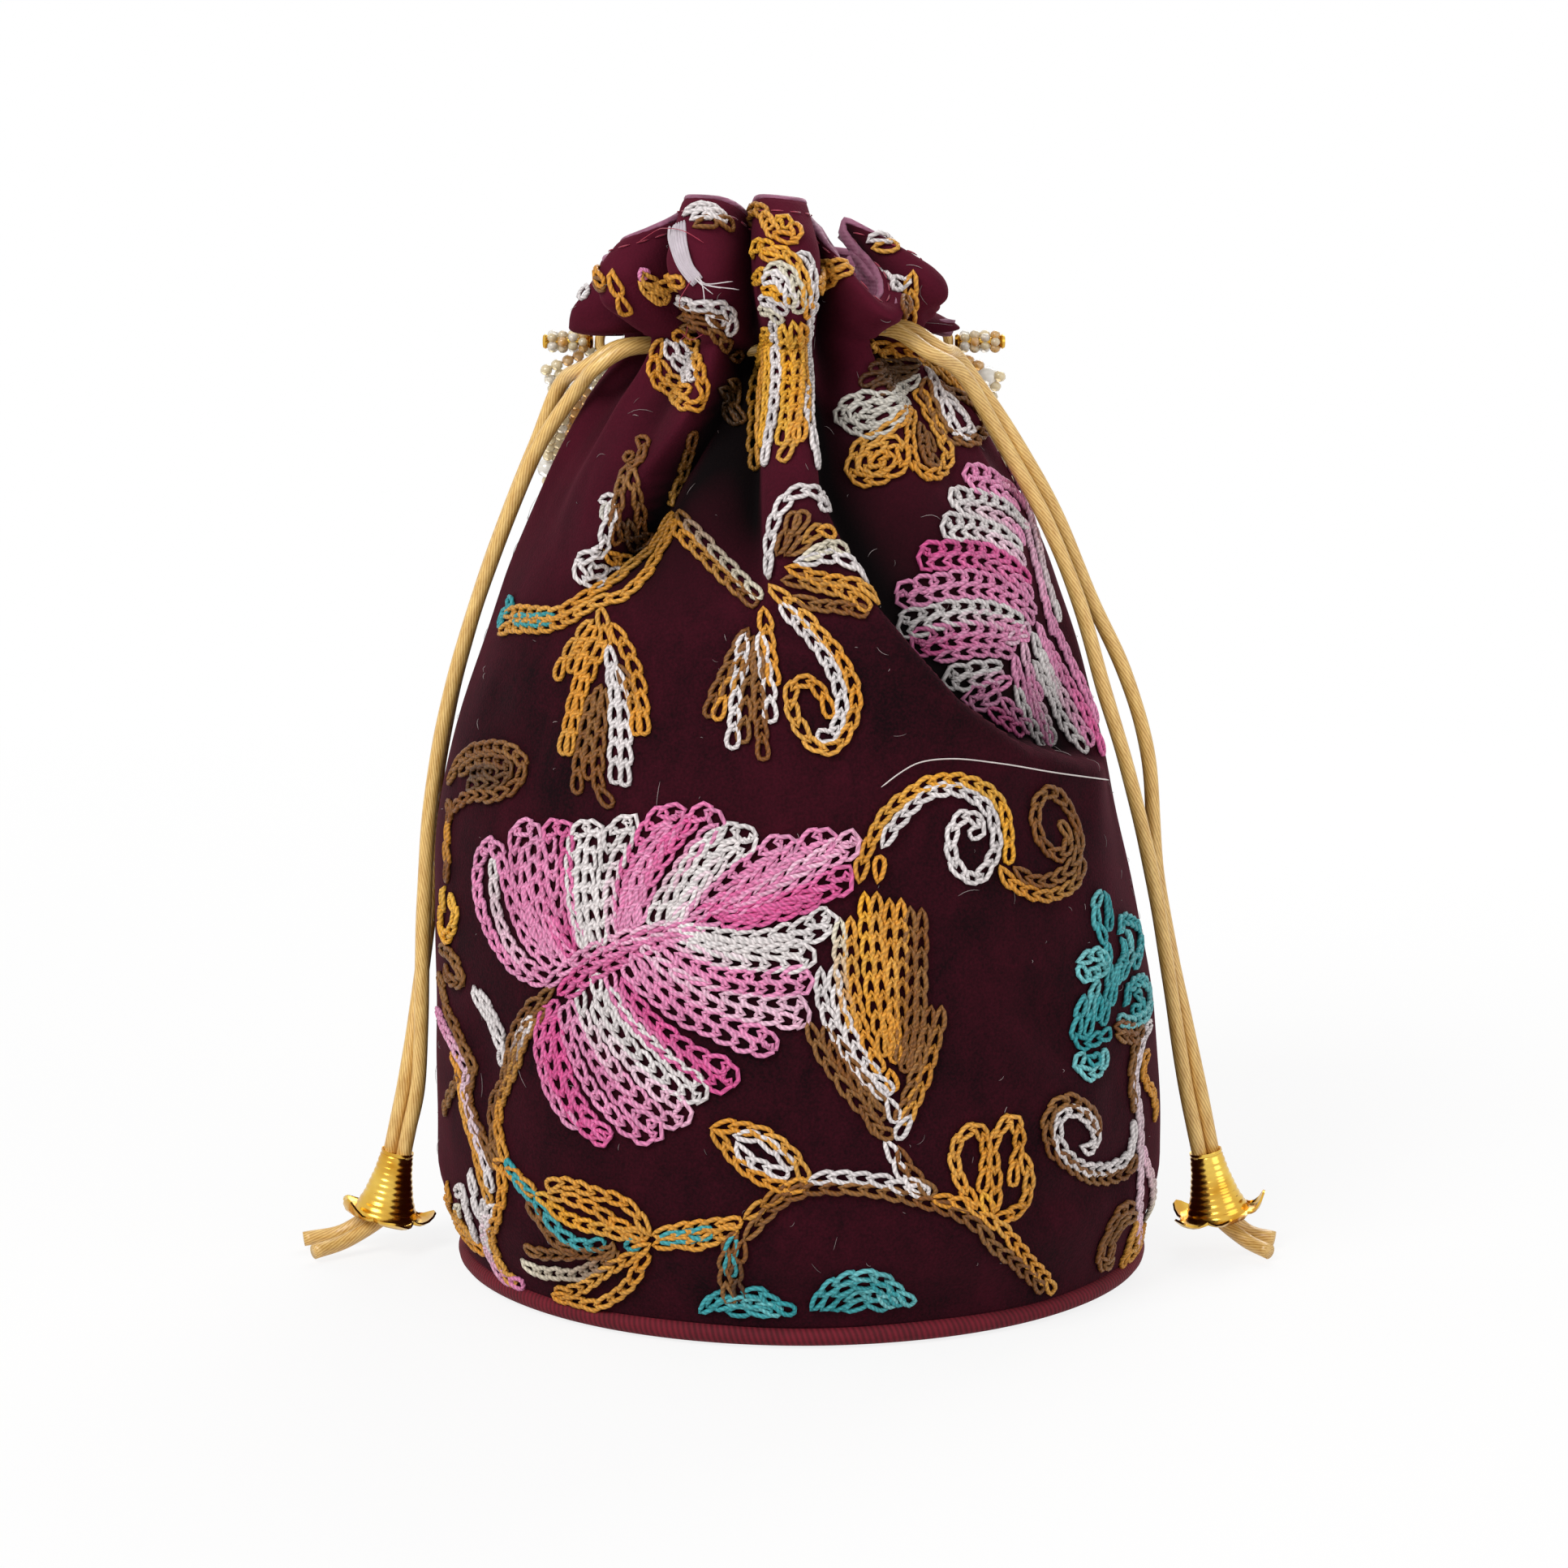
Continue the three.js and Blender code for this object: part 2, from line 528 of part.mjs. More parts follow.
const tailAcross = STRAND_SPACING / 2;
tail('left_front_tail', leftBell, -1, -tailAcross, 13);
tail('left_back_tail', leftBell, -1, tailAcross, 16);
tail('right_front_tail', rightBell, 1, -tailAcross, 9);
tail('right_back_tail', rightBell, 1, tailAcross, 11);

// Bead handle: gold cord loops at the neck, a bar at each end, and strands of beads between the bars
const handle = new THREE.Group();
bag.add(handle);

function anchorPoint(side) {
  return new THREE.Vector3(-NECK_LEAN + side * HANDLE_ANCHOR_REACH, HANDLE_ANCHOR_DEPTH, NECK_HEIGHT - 3);
}

function handleBar(name, side) {
  const [radius, half] = [HANDLE_BAR_DIAMETER / 2, HANDLE_BAR_LENGTH / 2];
  const profile = [[0, -half], [0.7 * radius, -half], [radius, -0.6 * half], [radius, 0.6 * half], [0.7 * radius, half], [0, half]];
  const bar = new THREE.LatheGeometry(profile.map(([r, y]) => new THREE.Vector2(r, y)), 12);
  bar.rotateZ(Math.PI / 2);
  addMesh(name, bar, GILT, handle).position.copy(anchorPoint(side));
}

// The loop leaves a valley of the gathered neck and turns back beside the bar's inner end
function handleLoop(name, side, valley) {
  const barEnd = anchorPoint(side);
  barEnd.x -= side * (HANDLE_BAR_LENGTH / 2 + 2 * CLEARANCE + HANDLE_LOOP_DIAMETER / 2);
  const spread = HANDLE_LOOP_DIAMETER + CLEARANCE;
  const root = (up) => onCloth(valley, NECK_HEIGHT + 1 + up, 5 * CLEARANCE);
  const middle = root(0).lerp(barEnd, 0.55);
  const points = [
    root(spread), middle.clone().setZ(middle.z + spread), barEnd.clone().setZ(barEnd.z + 0.7 * spread),
    barEnd.clone().setZ(barEnd.z - 0.7 * spread), middle.clone().setZ(middle.z - spread), root(-spread),
  ];
  addMesh(name, cordGeometry(points, HANDLE_LOOP_DIAMETER, 9), SATIN);
}

const HANDLE_ROUTE = [[-117, 168, 7], [-124, 156, 5.4], [-132, 141, 4.6], [-143, 125, 4.4], [-156, 112, 4.4], [-169, 105, 4.4]];

function handlePath() {
  const leg = (side) => HANDLE_ROUTE.map(([deg, height, lift]) => onCloth(-side * deg, height, lift));
  const start = (side) => {
    const top = leg(side)[0];
    const gap = HANDLE_BAR_DIAMETER / 2 + CLEARANCE;
    return anchorPoint(side).addScaledVector(top.sub(anchorPoint(side)).normalize(), gap);
  };
  const bottom = onCloth(180, 103, 4.4);
  const points = [start(-1), ...leg(-1), bottom, ...leg(1).reverse(), start(1)];
  return new THREE.CatmullRomCurve3(points, false, 'centripetal');
}

// A string of beads: rings that swell at each bead, with a pearl now and then
function beadStrand(name, path, offset, phase) {
  const beads = Math.round(path.getLength() / BEAD_PITCH);
  const sides = 6;
  const rings = [];
  const inward = new THREE.Vector3(-NECK_LEAN, 0, CHEST_HEIGHT);
  const place = (share) => {
    const centre = path.getPointAt(share);
    const tangent = path.getTangentAt(share);
    const outward = centre.clone().sub(inward).projectOnPlane(tangent).normalize();
    const across = new THREE.Vector3().crossVectors(tangent, outward).normalize();
    return { centre: centre.addScaledVector(across, offset), outward, across };
  };
  const ring = (share, radius) => {
    const { centre, outward, across } = place(THREE.MathUtils.clamp(share, 0, 1));
    const points = [];
    for (let k = 0; k < sides; k += 1) {
      const angle = 2 * Math.PI * k / sides;
      const point = centre.clone().addScaledVector(outward, radius * Math.cos(angle));
      points.push(point.addScaledVector(across, radius * Math.sin(angle)));
    }
    return points;
  };
  for (let k = 0; k < beads; k += 1) {
    const isPearl = (k + phase) % PEARL_EVERY === 0;
    rings.push(ring(k / beads, BEAD_NECK_DIAMETER / 2));
    rings.push(ring((k + 0.5) / beads, (isPearl ? PEARL_DIAMETER : BEAD_DIAMETER) / 2));
  }
  rings.push(ring(1, BEAD_NECK_DIAMETER / 2));
  addMesh(name, ringsGeometry(rings, false), BEADS, handle);
}

handleBar('handle_bar_left', -1);
handleBar('handle_bar_right', 1);
handleLoop('handle_loop_left', -1, (LOBES[0] + LOBES[1]) / 2);
handleLoop('handle_loop_right', 1, (LOBES[7] + LOBES[8]) / 2);
const path = handlePath();
for (let k = 0; k < BEAD_STRANDS; k += 1) {
  const offset = (k - (BEAD_STRANDS - 1) / 2) * BEAD_STRAND_SPACING;
  beadStrand(`bead_strand_${k + 1}`, path, offset, 2 * k);
}

// The wall's own facets, so that stitches lie evenly on them
function wallPoint(deg, height) {
  const turn = THREE.MathUtils.euclideanModulo(deg, 360) * COLUMNS / 360;
  const j = Math.floor(turn) % COLUMNS;
  const next = (j + 1) % COLUMNS;
  let i = 0;
  while (i < WALL_HEIGHTS.length - 2 && height >= WALL_HEIGHTS[i + 1]) i += 1;
  const s = turn - Math.floor(turn);
  const t = (height - WALL_HEIGHTS[i]) / (WALL_HEIGHTS[i + 1] - WALL_HEIGHTS[i]);
  const [a, b] = [wallRings[i][j], wallRings[i][next]];
  const [c, d] = [wallRings[i + 1][next], wallRings[i + 1][j]];
  if (s + t <= 1) return a.clone().addScaledVector(b.clone().sub(a), s).addScaledVector(d.clone().sub(a), t);
  return c.clone().addScaledVector(d.clone().sub(c), 1 - s).addScaledVector(b.clone().sub(c), 1 - t);
}

// A raised patch of stitching; place(across, along) gives degrees and height, ridges run along it
function stitchPatch(name, look, columns, rows, place) {
  const grid = (lift, ridge) => {
    const points = [];
    for (let i = 0; i <= rows; i += 1) {
      for (let j = 0; j <= columns; j += 1) {
        const [deg, height] = place(j / columns, i / rows);
        const high = lift + (j % 2 === 1 ? ridge : 0);
        points.push(wallPoint(deg, height).addScaledVector(clothNormal(deg, height), high));
      }
    }
    return points;
  };
  const top = grid(STITCH_GAP + STITCH_RELIEF, STITCH_RIDGE);
  const points = [...top, ...grid(STITCH_GAP, 0)];
  const width = columns + 1;
  const under = top.length;
  const triangles = [];
  for (let i = 0; i < rows; i += 1) {
    for (let j = 0; j < columns; j += 1) {
      const a = i * width + j;
      triangles.push([a, a + 1, a + width + 1], [a, a + width + 1, a + width]);
      triangles.push([under + a, under + a + width + 1, under + a + 1]);
      triangles.push([under + a, under + a + width, under + a + width + 1]);
    }
  }
  const border = [];
  for (let j = 0; j < columns; j += 1) border.push(j);
  for (let i = 0; i < rows; i += 1) border.push(i * width + columns);
  for (let j = columns; j > 0; j -= 1) border.push(rows * width + j);
  for (let i = rows; i > 0; i -= 1) border.push(i * width);
  border.forEach((a, k) => {
    const b = border[(k + 1) % border.length];
    triangles.push([a, under + a, under + b], [a, under + b, b]);
  });
  addMesh(name, solidGeometry(points, triangles), look);
}

// Petals between ribs, each rib from its root to its tip: degrees, height, degrees, height
function fan(name, look, rows, ribs, turn = 0) {
  stitchPatch(name, look, ribs.length - 1, rows, (across, along) => {
    const rib = ribs[Math.round(across * (ribs.length - 1))];
    const deg = rib[0] + along * (rib[2] - rib[0]);
    return [deg + turn, rib[1] + along * (rib[3] - rib[1])];
  });
}

// A stem or leaf along points on the cloth, of even width or tapered to both ends
function stem(name, look, width, points, { steps = 4 * (points.length - 1), taper = false, turn = 0 } = {}) {
  const arm = THREE.MathUtils.degToRad(BELLY_RADIUS);
  const line = new THREE.CatmullRomCurve3(
    points.map(([deg, height]) => new THREE.Vector3(deg * arm, height, 0)), false, 'centripetal',
  );
  stitchPatch(name, look, 2, steps, (across, along) => {
    const centre = line.getPointAt(along);
    const tangent = line.getTangentAt(along);
    const share = taper ? 0.15 + 0.85 * Math.sin(Math.PI * along) : 1;
    const side = (across - 0.5) * width * share;
    return [(centre.x + tangent.y * side) / arm + turn, centre.y - tangent.x * side];
  });
}

const LOTUS_RIBS = [
  [-37, 63.5, -41, 57], [-36, 63.5, -40, 47], [-35, 65, -34, 41], [-32, 67, -25, 40.5], [-29, 69.5, -17, 45.5],
  [-25, 71.5, -9, 53], [-20, 74, -1, 62], [-15, 77, 3, 72], [-13, 80, 7, 83], [-14, 83, 12, 95.5],
  [-18, 83, -1, 96], [-22, 82.5, -9, 99.5], [-26, 81, -18, 100.5], [-30, 79.5, -29, 98.5], [-34, 77.5, -40, 97.5],
  [-37, 74.5, -52, 91.5], [-39, 71.5, -57, 82], [-40, 68, -51, 73],
];
const TULIP_RIBS = [
  [6, 50, 2, 64], [8.5, 46.5, 5, 74], [11.5, 44.5, 8, 83], [14, 44, 16, 86], [16, 46, 20.5, 84], [18.5, 50, 22.5, 66],
];
const CURL_LINE = [
  [15.5, 91], [17.5, 98.5], [22, 103.5], [29, 105.4], [36, 101.5], [38.5, 93.5], [41, 86], [46.5, 82.7], [53.5, 86],
  [55, 94], [51, 99.5], [47.5, 95.5],
];
const VINE_LINE = [
  [-21, 20.5], [-15, 22.5], [-10, 25], [-5, 29], [0.5, 32.7], [9, 33.8], [19.5, 30.3], [27, 24], [33.5, 16], [39, 9],
];

for (const [half, turn] of [['front', 0], ['back', 180]]) {
  fan(`${half}_lotus_flower`, PINK, 3, LOTUS_RIBS, turn);
  fan(`${half}_tulip_bud`, ORANGE, 3, TULIP_RIBS, turn);
  stem(`${half}_curled_tendril`, ORANGE, 4, CURL_LINE, { turn, steps: 20 });
  stem(`${half}_ground_vine`, BROWN, 4.5, VINE_LINE, { turn, steps: 16 });
}
fan('right_pink_flower', PINK, 8, [
  [78, 152, 56, 157], [76, 146, 44, 149.5], [74, 139, 39, 144.5], [73, 131.5, 38, 138], [72, 124, 40, 133],
  [71, 117, 44, 127], [69, 112.5, 48, 120], [65, 109.5, 55, 114],
]);
fan('teal_flower', TEAL, 4, [
  [47, 49, 53, 53], [48, 57, 64, 52.5], [51.5, 61.5, 71, 57], [51.5, 67, 70, 63], [56, 72, 76, 68], [58.5, 79, 66, 74],
]);
fan('upper_petals', BROWN, 4, [
  [53, 172, 36, 168.5], [54, 170.5, 33, 162.5], [56, 169.5, 37, 159], [58.5, 169, 44, 160.5], [61, 169, 54, 162],
]);
fan('left_petals', ORANGE, 2, [
  [-39, 131, -44, 123], [-38, 130, -39, 109], [-36, 129.5, -31.5, 102.5], [-34, 129.5, -25.5, 105.5],
  [-32.5, 130.5, -23, 115],
]);
fan('centre_petals', BROWN, 2, [[-7, 132, -12, 118.5], [-5.5, 131, -7, 112], [-3.5, 131, -2, 110.5], [-2, 132, 0.5, 117]]);
fan('vine_tulip', ORANGE, 2, [
  [28.5, 29, 24, 40], [29.6, 28.5, 28.5, 39.5], [30.7, 28.5, 33.5, 42], [32, 29.5, 36, 34],
]);
fan('teal_leaf_left', TEAL, 1, [[-14, 6, -13, 8], [-10.5, 6, -10.5, 12], [-5.5, 6, -5.5, 12], [-1.5, 6, -2.5, 8.5]]);
fan('teal_leaf_right', TEAL, 1, [[2, 6, 2.5, 9], [5.5, 6, 5, 13.5], [11, 6, 11, 14.5], [15, 6, 15, 9.5]]);
stem('left_branch', ORANGE, 4, [[-68, 130.5], [-47.5, 134.5], [-36, 140], [-30.5, 143]], { steps: 9 });
stem('left_brown_leaf', BROWN, 9, [[-70, 95], [-62, 102], [-49, 105.5]], { steps: 6, taper: true });
stem('vine_leaf', WHITE, 7, [[-12, 43.5], [-6, 40], [-1.5, 36.5]], { steps: 5, taper: true });
stem('vine_petal_upper', ORANGE, 7, [[-24.5, 22], [-33, 25.5], [-42, 26.5]], { steps: 6, taper: true });
stem('vine_petal_lower', ORANGE, 6.5, [[-24.5, 17.5], [-31, 11], [-38.5, 7.5]], { steps: 6, taper: true });
stem('left_stem', BROWN, 4, [[-42, 61], [-47.5, 53], [-51.5, 37], [-50, 28], [-52.5, 17], [-49.5, 8]], { steps: 12 });
stem('left_outer_stem', BROWN, 3.5, [[-77, 60], [-66, 44], [-57.5, 31]], { steps: 6 });
stem('right_stem', WHITE, 3.5, [[71, 47], [64, 40], [62.5, 31], [63.5, 20.5], [66.5, 9]], { steps: 9 });
stem('neck_bud', ORANGE, 6, [[2.6, 161], [2.4, 168], [3.4, 177]], { steps: 5 });
stem('pleat_curl', ORANGE, 3.6, [[3, 134.5], [8, 129], [12.5, 121], [10.5, 114], [5, 113.5], [3, 119.5]], { steps: 12 });

export default bag;
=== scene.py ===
import math

import bpy
import numpy as np
from mathutils import Matrix, Vector, kdtree


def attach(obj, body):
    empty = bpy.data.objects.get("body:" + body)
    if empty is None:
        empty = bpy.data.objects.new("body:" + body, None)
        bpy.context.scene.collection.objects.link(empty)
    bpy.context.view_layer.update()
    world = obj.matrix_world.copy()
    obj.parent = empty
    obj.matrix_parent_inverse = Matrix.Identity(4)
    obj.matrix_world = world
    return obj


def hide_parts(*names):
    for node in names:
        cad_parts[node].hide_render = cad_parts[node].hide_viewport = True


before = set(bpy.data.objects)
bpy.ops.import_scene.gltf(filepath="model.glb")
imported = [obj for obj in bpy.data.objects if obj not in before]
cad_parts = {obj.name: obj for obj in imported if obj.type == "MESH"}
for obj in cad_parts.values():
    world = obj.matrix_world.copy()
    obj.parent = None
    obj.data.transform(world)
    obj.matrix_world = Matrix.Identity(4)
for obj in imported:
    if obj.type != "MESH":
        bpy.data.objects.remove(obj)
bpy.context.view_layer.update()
rng = np.random.default_rng(7)
mm = 0.001
print("frame loaded:", len(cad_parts), "CAD nodes")


# Small helpers

def linear(hexColour):
    channels = [int(hexColour[i:i + 2], 16) / 255 for i in (1, 3, 5)]
    return tuple(c / 12.92 if c <= 0.04045 else ((c + 0.055) / 1.055) ** 2.4 for c in channels) + (1.0,)


def addNode(tree, kind, settings=None, links=None):
    node = tree.nodes.new(kind)
    for key, value in (settings or {}).items():
        if isinstance(key, int) or key in node.inputs:
            node.inputs[key].default_value = value
        else:
            setattr(node, key, value)
    for key, source in (links or {}).items():
        tree.links.new(source, node.inputs[key])
    return node


def startMaterial(name):
    material = bpy.data.materials.new(name)
    material.use_nodes = True
    material.node_tree.nodes.clear()
    return material, material.node_tree


def endMaterial(tree, shader):
    addNode(tree, "ShaderNodeOutputMaterial", links={"Surface": shader.outputs[0]})


def surface(tree, settings, links):
    endMaterial(tree, addNode(tree, "ShaderNodeBsdfPrincipled", settings, links))


def objectPlace(tree):
    return addNode(tree, "ShaderNodeTexCoord").outputs["Object"]


def attribute(tree, name):
    return addNode(tree, "ShaderNodeAttribute", {"attribute_name": name}).outputs


def scaledBy(tree, place, scale):
    return addNode(tree, "ShaderNodeMapping", {"Scale": scale}, {"Vector": place}).outputs[0]


def noiseAt(tree, place, size, detail, **more):
    # patches about size across, in metres on Object coordinates
    settings = {"Scale": 1 / size, "Detail": detail, **more}
    return addNode(tree, "ShaderNodeTexNoise", settings, {"Vector": place}).outputs["Fac"]


def bandsAt(tree, place, direction, scale, distortion, **more):
    settings = {"bands_direction": direction, "Scale": scale, "Distortion": distortion, **more}
    return addNode(tree, "ShaderNodeTexWave", settings, {"Vector": place}).outputs["Fac"]


def mixOf(tree, share, first, second):
    return addNode(tree, "ShaderNodeMix", {"data_type": "FLOAT", 0: share}, {2: first, 3: second}).outputs[0]


def rangeOf(tree, value, **ends):
    settings = {key.replace("_", " "): end for key, end in ends.items()}
    return addNode(tree, "ShaderNodeMapRange", settings, {"Value": value}).outputs[0]


def rampOf(tree, share, *stops):
    # stops: a place on the ramp and a colour each
    node = addNode(tree, "ShaderNodeValToRGB", links={"Fac": share})
    for element, (position, hexColour) in zip(node.color_ramp.elements, stops):
        element.position = position
        element.color = linear(hexColour)
    return node.outputs["Color"]


def tintedBy(tree, share, colour, hexColour):
    # a colour drawn towards another one by a share
    settings = {"data_type": "RGBA", 7: linear(hexColour)}
    return addNode(tree, "ShaderNodeMix", settings, {0: share, 6: colour}).outputs[2]


def threadColour(tree, strength):
    # the tint of each thread, darker or lighter by a strength
    return addNode(tree, "ShaderNodeVectorMath", {"operation": "SCALE"},
                   {0: attribute(tree, "tint")["Color"], "Scale": strength}).outputs[0]


def bumpOf(tree, height, strength, distance, under=None):
    links = {"Height": height} if under is None else {"Height": height, "Normal": under}
    return addNode(tree, "ShaderNodeBump", {"Strength": strength, "Distance": distance}, links).outputs[0]


def larger(tree, first, second):
    return addNode(tree, "ShaderNodeMath", {"operation": "MAXIMUM"}, {0: first, 1: second}).outputs[0]


def deselectAll():
    if bpy.context.object and bpy.context.object.mode != "OBJECT":
        bpy.ops.object.mode_set(mode="OBJECT")
    bpy.ops.object.select_all(action="DESELECT")


def newPiece(name):
    piece = bpy.context.object
    piece.name = name
    piece.data.name = name
    return piece


def finishPiece(piece, material, body, slot, *nodes):
    piece.data.materials.clear()
    piece.data.materials.append(material)
    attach(piece, body)
    if nodes:
        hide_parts(*nodes)
    return piece


def meshPiece(name, points, faces, uvs=None, colours=None):
    # a mesh from points in millimetres; uvs per corner, colours per point
    mesh = bpy.data.meshes.new(name)
    mesh.from_pydata((np.asarray(points) * mm).tolist(), [], [list(f) for f in faces])
    mesh.polygons.foreach_set("use_smooth", np.ones(len(mesh.polygons), bool))
    if uvs is not None:
        layer = mesh.uv_layers.new(name="along")
        layer.data.foreach_set("uv", np.asarray(uvs, np.float32).ravel())
    if colours is not None:
        layer = mesh.color_attributes.new(name="tint", type="FLOAT_COLOR", domain="POINT")
        layer.data.foreach_set("color", np.asarray(colours, np.float32).ravel())
    mesh.update()
    piece = bpy.data.objects.new(name, mesh)
    bpy.context.scene.collection.objects.link(piece)
    return piece


def applyAll(piece):
    deselectAll()
    piece.select_set(True)
    bpy.context.view_layer.objects.active = piece
    for modifier in list(piece.modifiers):
        bpy.ops.object.modifier_apply(modifier=modifier.name)


def thicken(piece, name, thickness, offset):
    solid = piece.modifiers.new(name, "SOLIDIFY")
    solid.thickness = thickness * mm
    solid.offset = offset
    applyAll(piece)


def catmullRom(points, perSpan):
    # centripetal curve through points, as the part's cords are drawn
    p = np.asarray(points, float)
    p = np.vstack([2 * p[0] - p[1], p, 2 * p[-1] - p[-2]])
    step = lambda u, v: max(np.linalg.norm(v - u), 1e-6) ** 0.5
    out = []
    for i in range(1, len(p) - 2):
        a, b, c, d = p[i - 1:i + 3]
        t1 = step(a, b)
        t2 = t1 + step(b, c)
        t3 = t2 + step(c, d)
        t = np.linspace(t1, t2, perSpan, endpoint=False)[:, None]
        a1 = (t1 - t) / t1 * a + t / t1 * b
        a2 = (t2 - t) / (t2 - t1) * b + (t - t1) / (t2 - t1) * c
        a3 = (t3 - t) / (t3 - t2) * c + (t - t2) / (t3 - t2) * d
        b1 = (t2 - t) / t2 * a1 + t / t2 * a2
        b2 = (t3 - t) / (t3 - t1) * a2 + (t - t1) / (t3 - t1) * a3
        out.append((t2 - t) / (t2 - t1) * b1 + (t - t1) / (t2 - t1) * b2)
    out.append(p[-2][None])
    return np.vstack(out)


def arcLength(points):
    return np.concatenate([[0], np.cumsum(np.linalg.norm(np.diff(points, axis=0), axis=1))])


def evenly(points, spacing):
    run = arcLength(points)
    return along(np.linspace(0, run[-1], max(2, int(round(run[-1] / spacing)) + 1)), run, points)


def unit(vectors):
    return vectors / np.maximum(np.linalg.norm(vectors, axis=-1, keepdims=True), 1e-9)


def carriedFrames(path):
    # directions beside and above a path, carried along it without twisting
    tangent = unit(np.gradient(path, axis=0))
    beside = np.zeros_like(path)
    start = np.cross(tangent[0], (0, 0, 1) if abs(tangent[0][2]) < 0.9 else (0, 1, 0))
    beside[0] = start / np.linalg.norm(start)
    for i in range(1, len(path)):
        carried = beside[i - 1] - tangent[i] * np.dot(beside[i - 1], tangent[i])
        beside[i] = carried / np.linalg.norm(carried)
    return beside, np.cross(tangent, beside)


def along(at, run, line):
    # where a line of points lies after each length of its run
    return np.stack([np.interp(at, run, line[:, k]) for k in range(3)], axis=-1)


def ringFaces(count, sides):
    # the quads between rings of points: each one's ring, place in the ring, and corners
    i, j = [a.ravel() for a in np.meshgrid(np.arange(count - 1), np.arange(sides), indexing="ij")]
    n = (j + 1) % sides
    return i, j, np.stack([i * sides + j, i * sides + n, (i + 1) * sides + n, (i + 1) * sides + j], axis=1)


def tubeParts(path, radius, sides):
    # points, faces and corner UVs of a tube; u goes round, v runs along in millimetres
    count = len(path)
    beside, above = carriedFrames(path)
    angle = 2 * np.pi * np.arange(sides) / sides
    size = np.broadcast_to(np.asarray(radius, float), (count,))[:, None, None]
    ring = beside[:, None] * np.cos(angle)[None, :, None] + above[:, None] * np.sin(angle)[None, :, None]
    points = (path[:, None] + size * ring).reshape(-1, 3)
    run = arcLength(path)
    i, j, faces = ringFaces(count, sides)
    u0, u1 = j / sides, (j + 1) / sides
    v0, v1 = run[i], run[i + 1]
    uvs = np.stack([u0, v0, u1, v0, u1, v1, u0, v1], axis=1).reshape(-1, 4, 2)
    return points, faces, uvs


def tubePiece(name, path, radius, sides):
    # a tube with rounded, closed ends
    points, faces, uvs = tubeParts(path, radius, sides)
    piece = meshPiece(name, points, faces, uvs.reshape(-1, 2))
    deselectAll()
    piece.select_set(True)
    bpy.context.view_layer.objects.active = piece
    bpy.ops.object.mode_set(mode="EDIT")
    bpy.ops.mesh.select_all(action="DESELECT")
    bpy.ops.mesh.select_mode(type="EDGE")
    bpy.ops.mesh.select_non_manifold()
    bpy.ops.mesh.edge_face_add()
    bpy.ops.mesh.select_all(action="SELECT")
    bpy.ops.mesh.normals_make_consistent(inside=False)
    bpy.ops.object.mode_set(mode="OBJECT")
    return piece


# Camera, floor and light

photoView = {"elevation": 10, "distance": 900, "target": (0, 0, 100), "mmPerPixel": 0.16,
             "targetPixel": (988, 933), "frame": 1932, "sensor": 36}
tilt = math.radians(photoView["elevation"])
viewAhead = np.array([0, math.cos(tilt), -math.sin(tilt)])
viewUp = np.array([0, math.sin(tilt), math.cos(tilt)])
viewRight = np.array([1.0, 0, 0])
middle = photoView["frame"] / 2
slideX = (middle - photoView["targetPixel"][0]) * photoView["mmPerPixel"]
slideUp = (photoView["targetPixel"][1] - middle) * photoView["mmPerPixel"]
eye = (np.array(photoView["target"]) - photoView["distance"] * viewAhead
       + slideX * viewRight + slideUp * viewUp)

cameraData = bpy.data.cameras.new("photo_camera")
cameraData.sensor_width = photoView["sensor"]
frameWidth = photoView["frame"] * photoView["mmPerPixel"]
cameraData.lens = photoView["sensor"] * photoView["distance"] / frameWidth
camera = bpy.data.objects.new("photo_camera", cameraData)
camera.location = Vector(eye * mm)
camera.rotation_euler = Vector(viewAhead).to_track_quat("-Z", "Y").to_euler()
bpy.context.scene.collection.objects.link(camera)
bpy.context.scene.camera = camera
bpy.context.scene.view_settings.view_transform = "Standard"


def toPixels(points):
    # where points in millimetres fall in the photograph, and their distance
    away = points - eye
    depth = away @ viewAhead
    scale = photoView["distance"] / photoView["mmPerPixel"] / depth
    return np.stack([middle + away @ viewRight * scale, middle - away @ viewUp * scale], axis=-1), depth


studio = {"floorSize": 12.0, "floorDrop": -0.0003, "floorShow": 0.84, "farShow": 1.0, "fadeFrom": 0.2,
          "fadeTo": 0.7, "worldLight": 0.4, "lampAim": (0, 0, 0.1),
          "lamps": [("key", (-0.6, -0.85, 1.0), 0.7, 12), ("fill", (0.95, -0.7, 0.45), 0.9, 3),
                    ("rim", (0.3, 0.85, 0.8), 0.8, 6)]}

world = bpy.data.worlds.new("white_studio")
bpy.context.scene.world = world
world.use_nodes = True
tree = world.node_tree
tree.nodes.clear()
rays = addNode(tree, "ShaderNodeLightPath").outputs
seen = larger(tree, rays["Is Camera Ray"], rays["Is Glossy Ray"])
seen = larger(tree, seen, rays["Is Transmission Ray"])
strength = rangeOf(tree, seen, To_Min=studio["worldLight"], To_Max=1.0)
sky = addNode(tree, "ShaderNodeBackground", {"Color": (1, 1, 1, 1)}, {"Strength": strength})
addNode(tree, "ShaderNodeOutputWorld", links={"Surface": sky.outputs[0]})

# Seamless white paper: matt, shown near white to the camera, with the bag's shadow kept
paper, tree = startMaterial("matt_white_paper")
rays = addNode(tree, "ShaderNodeLightPath").outputs
seen = larger(tree, rays["Is Camera Ray"], rays["Is Glossy Ray"])
away = addNode(tree, "ShaderNodeVectorMath", {"operation": "LENGTH"}, {0: objectPlace(tree)}).outputs["Value"]
